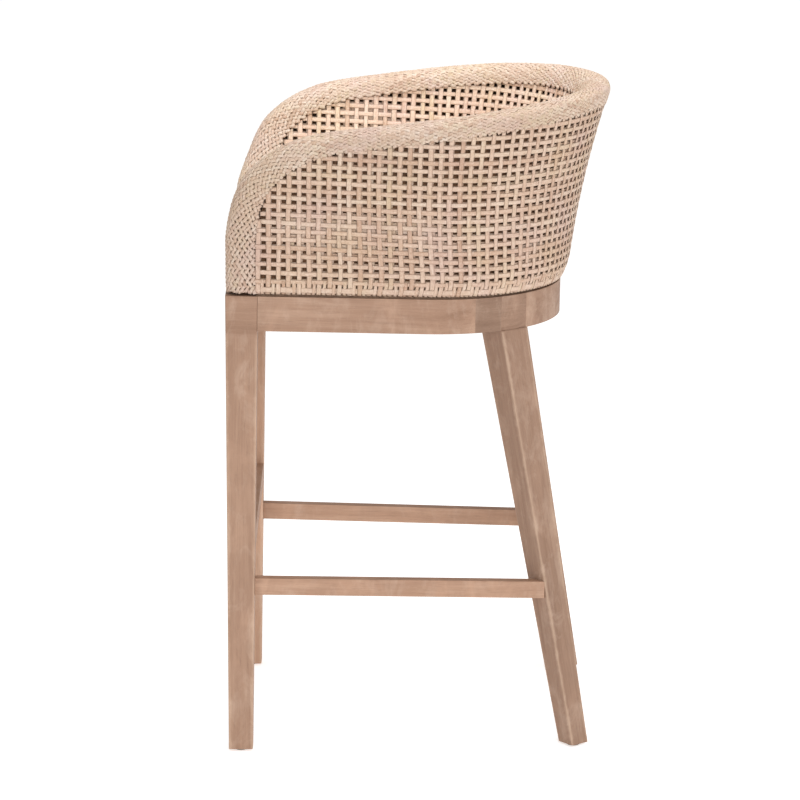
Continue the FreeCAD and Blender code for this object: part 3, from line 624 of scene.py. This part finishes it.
class Mat:
    def __init__(self, name, rough=0.6, spec=0.5):
        self.m = bpy.data.materials.new(name)
        self.m.use_nodes = True
        self.t = self.m.node_tree
        self.t.nodes.clear()
        self.out = self.t.nodes.new("ShaderNodeOutputMaterial")
        self.b = self.t.nodes.new("ShaderNodeBsdfPrincipled")
        self.b.inputs["Roughness"].default_value = rough
        self.b.inputs["Specular IOR Level"].default_value = spec
        self.t.links.new(self.b.outputs[0], self.out.inputs[0])

    def put(self, sock, v):
        if isinstance(v, bpy.types.NodeSocket):
            self.t.links.new(v, sock)
        else:
            sock.default_value = v

    def coord(self):
        return self.t.nodes.new("ShaderNodeTexCoord").outputs["Object"]

    def attr(self, name):
        n = self.t.nodes.new("ShaderNodeAttribute")
        n.attribute_name = name
        return n.outputs["Fac"]

    def mapping(self, vec, loc=(0, 0, 0), rot=(0, 0, 0), scale=(1, 1, 1)):
        n = self.t.nodes.new("ShaderNodeMapping")
        self.put(n.inputs["Vector"], vec)
        n.inputs["Location"].default_value = loc
        n.inputs["Rotation"].default_value = rot
        n.inputs["Scale"].default_value = scale
        return n.outputs[0]

    def xyz(self, x, y, z):
        n = self.t.nodes.new("ShaderNodeCombineXYZ")
        for k, v in enumerate((x, y, z)):
            self.put(n.inputs[k], v)
        return n.outputs[0]

    def math(self, op, a, b=0.0, clamp=False):
        n = self.t.nodes.new("ShaderNodeMath")
        n.operation, n.use_clamp = op, clamp
        self.put(n.inputs[0], a)
        self.put(n.inputs[1], b)
        return n.outputs[0]

    def noise(self, vec, scale=1.0, detail=3.0, rough=0.5, dist=0.0):
        n = self.t.nodes.new("ShaderNodeTexNoise")
        self.put(n.inputs["Vector"], vec)
        n.inputs["Scale"].default_value = scale
        n.inputs["Detail"].default_value = detail
        n.inputs["Roughness"].default_value = rough
        n.inputs["Distortion"].default_value = dist
        return n.outputs["Fac"]

    def wave(self, vec, scale, dist=0.0, direction="X"):
        n = self.t.nodes.new("ShaderNodeTexWave")
        n.bands_direction = direction
        self.put(n.inputs["Vector"], vec)
        n.inputs["Scale"].default_value = scale
        n.inputs["Distortion"].default_value = dist
        return n.outputs["Fac"]

    def ramp(self, fac, stops, smooth=False):
        n = self.t.nodes.new("ShaderNodeValToRGB")
        if smooth:
            n.color_ramp.interpolation = "EASE"
        self.put(n.inputs[0], fac)
        el = n.color_ramp.elements
        while len(el) > 1:
            el.remove(el[0])
        el[0].position, el[0].color = stops[0]
        for p, c in stops[1:]:
            e = el.new(p)
            e.color = c
        return n.outputs[0]

    def grey(self, fac, a, b, va=0.0, vb=1.0):
        n = self.t.nodes.new("ShaderNodeMapRange")
        self.put(n.inputs["Value"], fac)
        n.inputs["From Min"].default_value, n.inputs["From Max"].default_value = a, b
        n.inputs["To Min"].default_value, n.inputs["To Max"].default_value = va, vb
        return n.outputs[0]

    def mix(self, fac, a, b, mode="MIX"):
        n = self.t.nodes.new("ShaderNodeMix")
        n.data_type, n.blend_type = "RGBA", mode
        self.put(n.inputs[0], fac)
        self.put(n.inputs[6], a)
        self.put(n.inputs[7], b)
        return n.outputs[2]

    def bump(self, height, strength, dist, prev=None):
        n = self.t.nodes.new("ShaderNodeBump")
        n.inputs["Strength"].default_value = strength
        n.inputs["Distance"].default_value = dist
        self.put(n.inputs["Height"], height)
        if prev is not None:
            self.put(n.inputs["Normal"], prev)
        return n.outputs[0]

    def done(self, color, rough=None, normal=None):
        self.put(self.b.inputs["Base Color"], color)
        if rough is not None:
            self.put(self.b.inputs["Roughness"], rough)
        if normal is not None:
            self.put(self.b.inputs["Normal"], normal)
        return self.m


def wood(name, direction, seed, dark, mid, light, wash=0.5, ridges=(), head=None):
    """Pale washed hardwood with its grain along direction, paler along its ridges: partly rubbed wear, partly a
    painted highlight.
    head = (height, direction) turns the grain above that height, where the rail's face runs on."""
    m = Mat(name, 0.55, 0.35)
    obj = m.coord()

    def layer(along, sd):
        rot = Vector(along).normalized().rotation_difference(Vector((0, 0, 1))).to_euler()
        v = m.mapping(obj, rot=tuple(rot))
        v = m.mapping(v, loc=(sd * 1.37, sd * 0.71, sd * 2.3))
        bend = m.noise(m.mapping(v, scale=(9, 9, 2.2)), 1.0, 2.0, 0.5)
        v2 = m.xyz_add(v, bend, 0.016)
        broad = m.noise(m.mapping(v2, scale=(48, 48, 2.1)), 1.0, 4.0, 0.6, 0.5)
        fine = m.noise(m.mapping(v2, scale=(300, 300, 7.5)), 1.0, 4.0, 0.65)
        pores = m.noise(m.mapping(v2, scale=(1200, 1200, 40)), 1.0, 2.0, 0.6)
        c = m.ramp(broad, [(0.26, lin(*dark)), (0.5, lin(*mid)), (0.72, lin(*light))], True)
        c = m.mix(m.grey(fine, 0.44, 0.76, 0.0, 0.30), c, lin(*[k * 0.86 for k in dark]))
        c = m.mix(m.grey(pores, 0.57, 0.70, 0.0, 0.30), c, lin(*[k * 0.68 for k in dark]))
        return c, fine, pores

    col, fine, pores = layer(direction, seed)
    if head is not None:
        sep = m.t.nodes.new("ShaderNodeSeparateXYZ")
        m.t.links.new(obj, sep.inputs[0])
        c2, f2, p2 = layer(head[1], seed + 0.5)
        k = m.grey(sep.outputs["Z"], head[0] - head[2], head[0] + 0.0015)
        col = m.mix(k, col, c2)
        fine = m.math("ADD", m.math("MULTIPLY", fine, m.math("SUBTRACT", 1.0, k)), m.math("MULTIPLY", f2, k))
    blot = m.noise(m.mapping(obj, loc=(seed, seed * 2, seed * 3), scale=(13, 13, 8)), 1.0, 4.0, 0.62, 0.9)
    chalk = m.noise(m.mapping(obj, loc=(seed * 3, seed, seed * 2), scale=(34, 34, 16)), 1.0, 5.0, 0.7, 0.6)
    col = m.mix(m.grey(blot, 0.50, 0.72, 0.0, 0.34), col, lin(*[k * 0.88 for k in mid]))
    col = m.mix(m.grey(blot, 0.46, 0.26, 0.0, 0.40), col, lin(*[min(255, k * 1.10) for k in light]))
    col = m.mix(m.grey(chalk, 0.50, 0.80, 0.0, wash), col, lin(198, 172, 153))
    # Each ridge gets a pale line: partly rubbed wear, partly a painted highlight where the eased edge would catch
    # light.
    for a, b, amount in ridges:
        a, b = Vector(a), Vector(b)
        sub = m.t.nodes.new("ShaderNodeVectorMath")
        sub.operation = "SUBTRACT"
        m.t.links.new(obj, sub.inputs[0])
        sub.inputs[1].default_value = a
        crs = m.t.nodes.new("ShaderNodeVectorMath")
        crs.operation = "CROSS_PRODUCT"
        m.t.links.new(sub.outputs[0], crs.inputs[0])
        crs.inputs[1].default_value = (b - a).normalized()
        ln = m.t.nodes.new("ShaderNodeVectorMath")
        ln.operation = "LENGTH"
        m.t.links.new(crs.outputs[0], ln.inputs[0])
        ridge_distance = m.math("ADD", ln.outputs["Value"], m.grey(chalk, 0.35, 0.65, 0.0016, -0.0012))
        ridge_wear_and_highlight = m.grey(ridge_distance, 0.0042, 0.0006, 0.0, amount * 0.62)
        if head is not None:
            ridge_wear_and_highlight = m.math("MULTIPLY", ridge_wear_and_highlight, m.math("SUBTRACT", 1.0, k))
        col = m.mix(ridge_wear_and_highlight, col, lin(206, 178, 155))
    rough = m.grey(fine, 0.3, 0.7, 0.5, 0.66)
    n1 = m.bump(pores, 0.22, 0.0006)
    n2 = m.bump(fine, 0.25, 0.0009, n1)
    return m.done(col, rough, n2)


def _xyz_add(self, vec, fac, amount):
    n = self.t.nodes.new("ShaderNodeVectorMath")
    n.operation = "MULTIPLY_ADD"
    c = self.xyz(fac, fac, 0.0)
    self.t.links.new(c, n.inputs[0])
    n.inputs[1].default_value = (amount, amount, amount)
    self.t.links.new(vec, n.inputs[2])
    return n.outputs[0]


Mat.xyz_add = _xyz_add


def rattan(name, gain=1.0, spread=1.0, pale=1.0, far_side_light_gain=None):
    """Split cane with a dry matte face: tint per strip, fibres along it, worn patches."""
    m = Mat(name, 0.62, 0.3)
    along, across, tint = m.attr("along"), m.attr("across"), m.attr("tint")
    obj = m.coord()
    g = gain

    def c(r, gg, b):
        return lin(min(255, r * g), min(255, gg * g * (1 + 0.6 * (pale - 1))), min(255, b * g * pale))

    tint = m.grey(tint, 0.0, 1.0, 0.5 - 0.5 * min(spread, 1.0), 0.5 + 0.5 * min(spread, 1.0))
    strip = m.ramp(tint, [(0.0, c(196, 160, 136)), (0.14, c(212, 180, 156)), (0.42, c(219, 189, 167)),
                          (0.68, c(224, 197, 176)), (0.86, c(212, 185, 156)), (1.0, c(230, 207, 188))])
    patch = m.noise(obj, 13.0, 3.0, 0.55)
    hue = m.noise(m.mapping(obj, loc=(4, 7, 2)), 17.0, 2.0, 0.5)
    col = m.mix(m.grey(patch, 0.40, 0.72, 0.0, 0.40), strip, c(200, 162, 140))
    col = m.mix(m.grey(hue, 0.52, 0.72, 0.0, 0.32), col, c(212, 184, 144))
    col = m.mix(m.grey(hue, 0.46, 0.30, 0.0, 0.35), col, c(214, 182, 174))
    fv = m.xyz(m.math("MULTIPLY", along, 42.0), m.math("MULTIPLY", across, 3.2), m.math("MULTIPLY", tint, 91.0))
    fib = m.noise(fv, 1.0, 4.0, 0.65)
    fv2 = m.xyz(m.math("MULTIPLY", along, 210.0), m.math("MULTIPLY", across, 1.2), m.math("MULTIPLY", tint, 47.0))
    spot = m.noise(fv2, 1.0, 2.0, 0.5)
    col = m.mix(m.grey(fib, 0.5, 0.76, 0.0, 0.5), col, c(172, 134, 108))
    col = m.mix(m.grey(fib, 0.44, 0.26, 0.0, 0.5), col, c(240, 222, 205))
    col = m.mix(m.grey(spot, 0.60, 0.74, 0.0, 0.4), col, c(160, 120, 92))
    grit = m.noise(obj, 330.0, 3.0, 0.7)
    col = m.mix(m.grey(grit, 0.54, 0.72, 0.0, 0.40), col, c(166, 130, 104))
    col = m.mix(m.grey(grit, 0.46, 0.30, 0.0, 0.42), col, c(246, 230, 214))
    # Painted shade: each strip is darkened along its two sides, where it meets its neighbours.
    rim = m.grey(m.math("ABSOLUTE", across), 0.6, 1.0, 0.0, 0.28)
    col = m.mix(rim, col, c(150, 108, 78))
    # Painted light: towards negative x, the far arm, the colour is multiplied up by these gains.
    if far_side_light_gain is not None:
        sep = m.t.nodes.new("ShaderNodeSeparateXYZ")
        m.t.links.new(obj, sep.inputs[0])
        col = m.mix(m.grey(sep.outputs["X"], 0.22, -0.22), col, far_side_light_gain, "MULTIPLY")
    rough = m.grey(fib, 0.3, 0.7, 0.5, 0.72)
    return m.done(col, rough, m.bump(fib, 0.4, 0.0009))


def stained(name, direction, base, deep):
    """Dark stained wood inside the wall."""
    m = Mat(name, 0.75, 0.25)
    rot = Vector(direction).normalized().rotation_difference(Vector((0, 0, 1))).to_euler()
    v = m.mapping(m.coord(), rot=tuple(rot))
    g = m.noise(m.mapping(v, scale=(160, 160, 5)), 1.0, 4.0, 0.6)
    s = m.noise(m.coord(), 45.0, 3.0, 0.6)
    col = m.ramp(g, [(0.3, lin(*deep)), (0.7, lin(*base))])
    col = m.mix(m.grey(s, 0.5, 0.8, 0.0, 0.4), col, lin(*[c * 1.3 for c in base]))
    return m.done(col, m.grey(g, 0.3, 0.7, 0.65, 0.85), m.bump(g, 0.3, 0.0008))


def plywood(name):
    m = Mat(name, 0.7, 0.3)
    v = m.mapping(m.coord(), scale=(6, 120, 120))
    g = m.noise(v, 1.0, 4.0, 0.6)
    ply = m.wave(m.coord(), 260.0, 0.6, "Z")
    col = m.ramp(g, [(0.3, lin(176, 138, 98)), (0.6, lin(206, 172, 130)), (0.8, lin(220, 190, 150))])
    col = m.mix(m.grey(ply, 0.2, 0.8, 0.0, 0.22), col, lin(150, 110, 74))
    return m.done(col, m.grey(g, 0.3, 0.7, 0.6, 0.8), m.bump(g, 0.2, 0.0006))


def fabric(name, base, deep):
    """Off-white linen: crossed threads with slubs, and a faint nap."""
    m = Mat(name, 0.9, 0.15)
    m.b.inputs["Sheen Weight"].default_value = 0.25
    m.b.inputs["Sheen Roughness"].default_value = 0.5
    o = m.coord()
    slub = m.noise(m.mapping(o, scale=(40, 620, 620)), 1.0, 3.0, 0.6)
    slub2 = m.noise(m.mapping(o, scale=(620, 40, 620), loc=(3, 3, 3)), 1.0, 3.0, 0.6)
    th = m.math("MULTIPLY", m.math("ADD", slub, slub2), 0.5)
    wear = m.noise(o, 7.0, 4.0, 0.6)
    col = m.mix(m.grey(th, 0.34, 0.58, 0.25, 1.0), lin(*deep), lin(*base))
    col = m.mix(m.grey(slub, 0.55, 0.75, 0.0, 0.4), col, lin(*[min(255, c * 1.04) for c in base]))
    col = m.mix(m.grey(slub2, 0.55, 0.75, 0.0, 0.35), col, lin(*deep))
    col = m.mix(m.grey(wear, 0.5, 0.8, 0.0, 0.25), col, lin(*[c * 0.94 for c in base]))
    h = m.math("ADD", th, m.math("MULTIPLY", slub, 0.6))
    return m.done(col, m.grey(slub, 0.3, 0.7, 0.82, 0.96), m.bump(h, 0.35, 0.0006))


def steel(name):
    m = Mat(name, 0.35, 0.5)
    m.b.inputs["Metallic"].default_value = 0.95
    g = m.noise(m.coord(), 900.0, 3.0, 0.6)
    return m.done(m.ramp(g, [(0.3, lin(150, 146, 138)), (0.7, lin(200, 198, 192))]), m.grey(g, 0.3, 0.7, 0.28, 0.48))


def plastic(name):
    m = Mat(name, 0.45, 0.4)
    g = m.noise(m.coord(), 380.0, 4.0, 0.6)
    w = m.noise(m.coord(), 60.0, 3.0, 0.5)
    col = m.mix(m.grey(w, 0.4, 0.7, 0.0, 0.6), lin(128, 122, 112), lin(98, 93, 85))
    return m.done(col, m.grey(g, 0.3, 0.7, 0.38, 0.6), m.bump(g, 0.2, 0.0003))


def assign(o, mat):
    if not o.material_slots:
        o.data.materials.append(mat)
    for s in o.material_slots:
        s.link = "OBJECT"
        s.material = mat


DARK, MID, LIGHT = (141, 108, 88), (157, 124, 104), (170, 138, 118)


def leg_axis(n):
    """The lean of a rear leg, from its own mesh: centre of the foot to centre of the head."""
    co = np.array([v.co[:] for v in nodes[n].data.vertices])
    lo = co[co[:, 2] < co[:, 2].min() + 0.004].mean(0)
    hi = co[(co[:, 2] > 0.60) & (co[:, 2] < 0.66)]
    hi = hi.mean(0) if len(hi) else co[co[:, 2] > co[:, 2].max() - 0.06].mean(0)
    return tuple(hi - lo)


WOODS = {
    "front_left_leg": ((0, 0, 1), 1, 0.55), "front_right_leg": ((0, 0, 1), 2, 0.5),
    "rear_left_leg": (leg_axis("rear_left_leg"), 3, 0.5), "rear_right_leg": (leg_axis("rear_right_leg"), 4, 0.5),
    "left_apron_rail": ((0, 1, -0.019), 5, 0.45), "right_apron_rail": ((0, 1, -0.019), 6, 0.45),
    "rear_left_apron_corner": ((-0.6, 0.8, 0), 7, 0.4), "rear_right_apron_corner": ((0.6, 0.8, 0), 8, 0.4),
    "rear_apron_rail": ((1, 0, 0), 9, 0.45), "front_apron_rail": ((1, 0, 0), 10, 0.45),
    "front_footrest": ((1, 0, 0), 11, 0.45), "left_stretcher": ((-0.07, 1, -0.02), 12, 0.45),
    "right_stretcher": ((0.07, 1, -0.02), 13, 0.45), "rear_stretcher": ((1, 0, 0), 14, 0.45),
}
# Per-part brightness gains, partly each part's own tone and partly painted light: the far front leg, both stretchers
# and the footrest are brightened to make up for light they don't get.
TONE_AND_PAINTED_LIGHT = {"front_right_leg": 1.16, "left_stretcher": 1.09, "right_stretcher": 1.10, "rear_left_leg": 0.94,
        "rear_left_apron_corner": 0.885, "rear_right_apron_corner": 0.93, "left_apron_rail": 1.02,
        "front_apron_rail": 1.04, "front_footrest": 1.12, "front_left_leg": 1.01}


def corners(n, u, v, low, high):
    """The four ridges of a leg: extreme points along +-u +-v near its foot and near its top."""
    co = np.array([q.co[:] for q in nodes[n].data.vertices])
    out = []
    for su in (1, -1):
        for sv in (1, -1):
            w = np.array(u) * su + np.array(v) * sv
            a = co[co[:, 2] < low]
            b = co[(co[:, 2] > high[0]) & (co[:, 2] < high[1])]
            out.append((tuple(a[(a @ w).argmax()]), tuple(b[(b @ w).argmax()]), 0.62))
    return out


def bar_ridges(n):
    """The long upper and lower edges of a straight bar, from the corners of its own mesh."""
    co = np.array([q.co[:] for q in nodes[n].data.vertices])
    k = 1 if "stretcher" in n and "rear" not in n else 0
    lo_, hi_ = co[:, k].min(), co[:, k].max()
    span = hi_ - lo_
    ends = [co[(co[:, k] > lo_ + 0.03 * span) & (co[:, k] < lo_ + 0.12 * span)],
            co[(co[:, k] < hi_ - 0.03 * span) & (co[:, k] > hi_ - 0.12 * span)]]
    if min(len(e) for e in ends) < 4:
        return []
    out = []
    o_ = 1 - k
    for su in (1, -1):
        for sv in (1, -1):
            w = np.zeros(3)
            w[o_], w[2] = su, sv
            out.append((tuple(ends[0][(ends[0] @ w).argmax()]), tuple(ends[1][(ends[1] @ w).argmax()]), 0.5))
    return out


c40, s40 = math.cos(math.radians(40)), math.sin(math.radians(40))
RIDGES = {
    "front_left_leg": corners("front_left_leg", (1, 0, 0), (0, 1, 0), 0.006, (0.69, 0.71)),
    "front_right_leg": corners("front_right_leg", (1, 0, 0), (0, 1, 0), 0.006, (0.69, 0.71)),
    "rear_left_leg": corners("rear_left_leg", (c40, s40, 0), (-s40, c40, 0), 0.006, (0.60, 0.66)),
    "rear_right_leg": corners("rear_right_leg", (-c40, s40, 0), (s40, c40, 0), 0.006, (0.60, 0.66)),
}
for n in ("left_stretcher", "right_stretcher", "rear_stretcher", "front_footrest"):
    RIDGES[n] = bar_ridges(n)
HEAD = {"front_left_leg": (0.6478, (0, 1, -0.019), 0.016), "front_right_leg": (0.6478, (0, 1, -0.019), 0.016),
        "rear_left_leg": (0.6385, (-0.6, 0.8, 0), 0.0015), "rear_right_leg": (0.6385, (0.6, 0.8, 0), 0.0015)}
for n, (axis, seed, wash) in WOODS.items():
    g = TONE_AND_PAINTED_LIGHT.get(n, 1.0)
    tones = [tuple(min(255, v * g * k) for v, k in zip(c, (1.0, 1.0, 0.985))) for c in (DARK, MID, LIGHT)]
    assign(nodes[n], wood("wood_" + n, axis, seed, *tones, wash, RIDGES.get(n, ()), HEAD.get(n)))
SQUARE = ["left_apron_rail", "right_apron_rail", "rear_left_apron_corner", "rear_right_apron_corner",
          "rear_apron_rail", "front_apron_rail", "front_footrest", "left_stretcher", "right_stretcher",
          "rear_stretcher"]
for n in SQUARE:
    we = nodes[n].modifiers.new("weld", "WELD")
    we.merge_threshold = 0.00002
    be = nodes[n].modifiers.new("eased", "BEVEL")
    be.width, be.segments, be.limit_method, be.angle_limit = (0.0002 if "apron" in n else 0.0013), 3, "ANGLE", math.radians(40)
    be.harden_normals = False

ply = plywood("plywood")
dark_v = stained("stained_upright", (0, 0, 1), (146, 108, 80), (102, 73, 52))
dark_h = stained("stained_bent", (0, 1, 0), (74, 52, 36), (44, 30, 20))
linen = fabric("linen", (238, 230, 217), (196, 184, 166))
linen_w = fabric("linen_piping", (232, 223, 209), (190, 178, 160))
metal = steel("screw_steel")
glide = plastic("glide_plastic")
for n in ("frame_dowels", "corner_braces", "seat_cross_batten", "seat_board"):
    assign(nodes[n], ply)
assign(nodes["seat_board"], stained("board", (1, 0, 0), (166, 138, 118), (128, 102, 84)))
for n in nodes:
    if "lining_panel" in n or n == "tub_uprights":
        assign(nodes[n], dark_v)
for n in ("tub_base_hoop", "tub_rim_hoop"):
    assign(nodes[n], dark_h)
for n in ("tub_screws", "seat_screws"):
    assign(nodes[n], metal)
assign(nodes["foot_glides"], glide)

cane = rattan("cane", 0.92)
# The inside cane is the same cane brightened (gain 1.10 against 0.92 outside): painted light on the tub's inner
# faces.
cane_in_painted_light = rattan("cane_inside", 1.10, 1.0, 1.04)
cane_back = rattan("cane_second_layer", 0.90)
# The last argument brightens the far arm of the rim: painted light.
cane_rim = rattan("cane_rim", 0.915, 1.0, 1.035, (1.22, 1.25, 1.28, 1.0))
core_mat = stained("rim_core", (0, 1, 0), (104, 74, 52), (66, 46, 32))
for o, mt in ((outer_a, cane), (outer_b, cane_back), (inner_a, cane_in_painted_light), (inner_b, cane_back),
              (roll_l, cane_rim), (roll_r, cane_rim), (core, core_mat), (pad, linen),
              (welt_top, linen_w), (welt_low, linen_w)):
    o.data.materials.clear()
    o.data.materials.append(mt)

# --------------------------------------------------------- pieces and bodies
for o, sl, rep in ((outer_a, "rattan", ("outer_woven_skin",)), (outer_b, "rattan", ("outer_woven_skin",)),
                   (inner_a, "rattan", ("inner_woven_skin",)), (inner_b, "rattan", ("inner_woven_skin",)),
                   (roll_l, "rattan", ("woven_rim_roll",)), (roll_r, "rattan", ("woven_rim_roll",)),
                   (core, "rattan", ("woven_rim_roll",)), (pad, "pad_fabric", ("seat_cushion",)),
                   (welt_top, "pad_fabric", ("seat_cushion",)), (welt_low, "pad_fabric", ("seat_cushion",))):
    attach(o, "root")
    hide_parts(*rep)

# -------------------------------------------------------- floor, light, view
fl = bpy.data.meshes.new("floor")
fl.from_pydata([(-60, -60, 0), (60, -60, 0), (60, 60, 0), (-60, 60, 0)], [], [[0, 1, 2, 3]])
floor = bpy.data.objects.new("floor", fl)
scene.collection.objects.link(floor)
fm = Mat("floor_paint", 0.9, 0.1)
fm.b.inputs["Emission Color"].default_value = (1.0, 1.0, 1.0, 1.0)
fm.b.inputs["Emission Strength"].default_value = 0.55
fn = fm.noise(fm.coord(), 3.0, 3.0, 0.5)
fl.materials.append(fm.done(fm.ramp(fn, [(0.3, (0.93, 0.93, 0.93, 1)), (0.7, (0.95, 0.95, 0.95, 1))])))

world = bpy.data.worlds.new("studio")
scene.world = world
world.use_nodes = True
bg = world.node_tree.nodes["Background"]
bg.inputs[0].default_value = (1.0, 0.99, 0.98, 1.0)
bg.inputs[1].default_value = 0.48


def lamp(name, loc, size, power, target=(0, 0, 0.6), color=(1, 1, 1)):
    d = bpy.data.lights.new(name, "AREA")
    d.shape, d.size, d.energy, d.color = "SQUARE", size, power, color
    o = bpy.data.objects.new(name, d)
    o.location = loc
    o.rotation_euler = (Vector(target) - Vector(loc)).to_track_quat("-Z", "Y").to_euler()
    scene.collection.objects.link(o)
    return o


lamp("key", (8.4, 1.0, 4.2), 3.5, 300.0)
lamp("fill", (1.6, 5.0, 2.6), 3.0, 45.0)
lamp("top", (0.12, 0.02, 2.2), 0.9, 17.0, target=(0, 0, 0))

cam_data = bpy.data.cameras.new("view")
cam_data.sensor_width = 36.0
cam_data.lens = 213.25
cam_data.clip_end = 200.0
cam = bpy.data.objects.new("view", cam_data)
cam.location = (7.0822, -0.03037, 2.1089)
cam.rotation_euler = (math.radians(77.0914), 0.0, math.radians(90.0))
scene.collection.objects.link(cam)
scene.camera = cam
scene.view_settings.view_transform = "Standard"
scene.view_settings.look = "None"
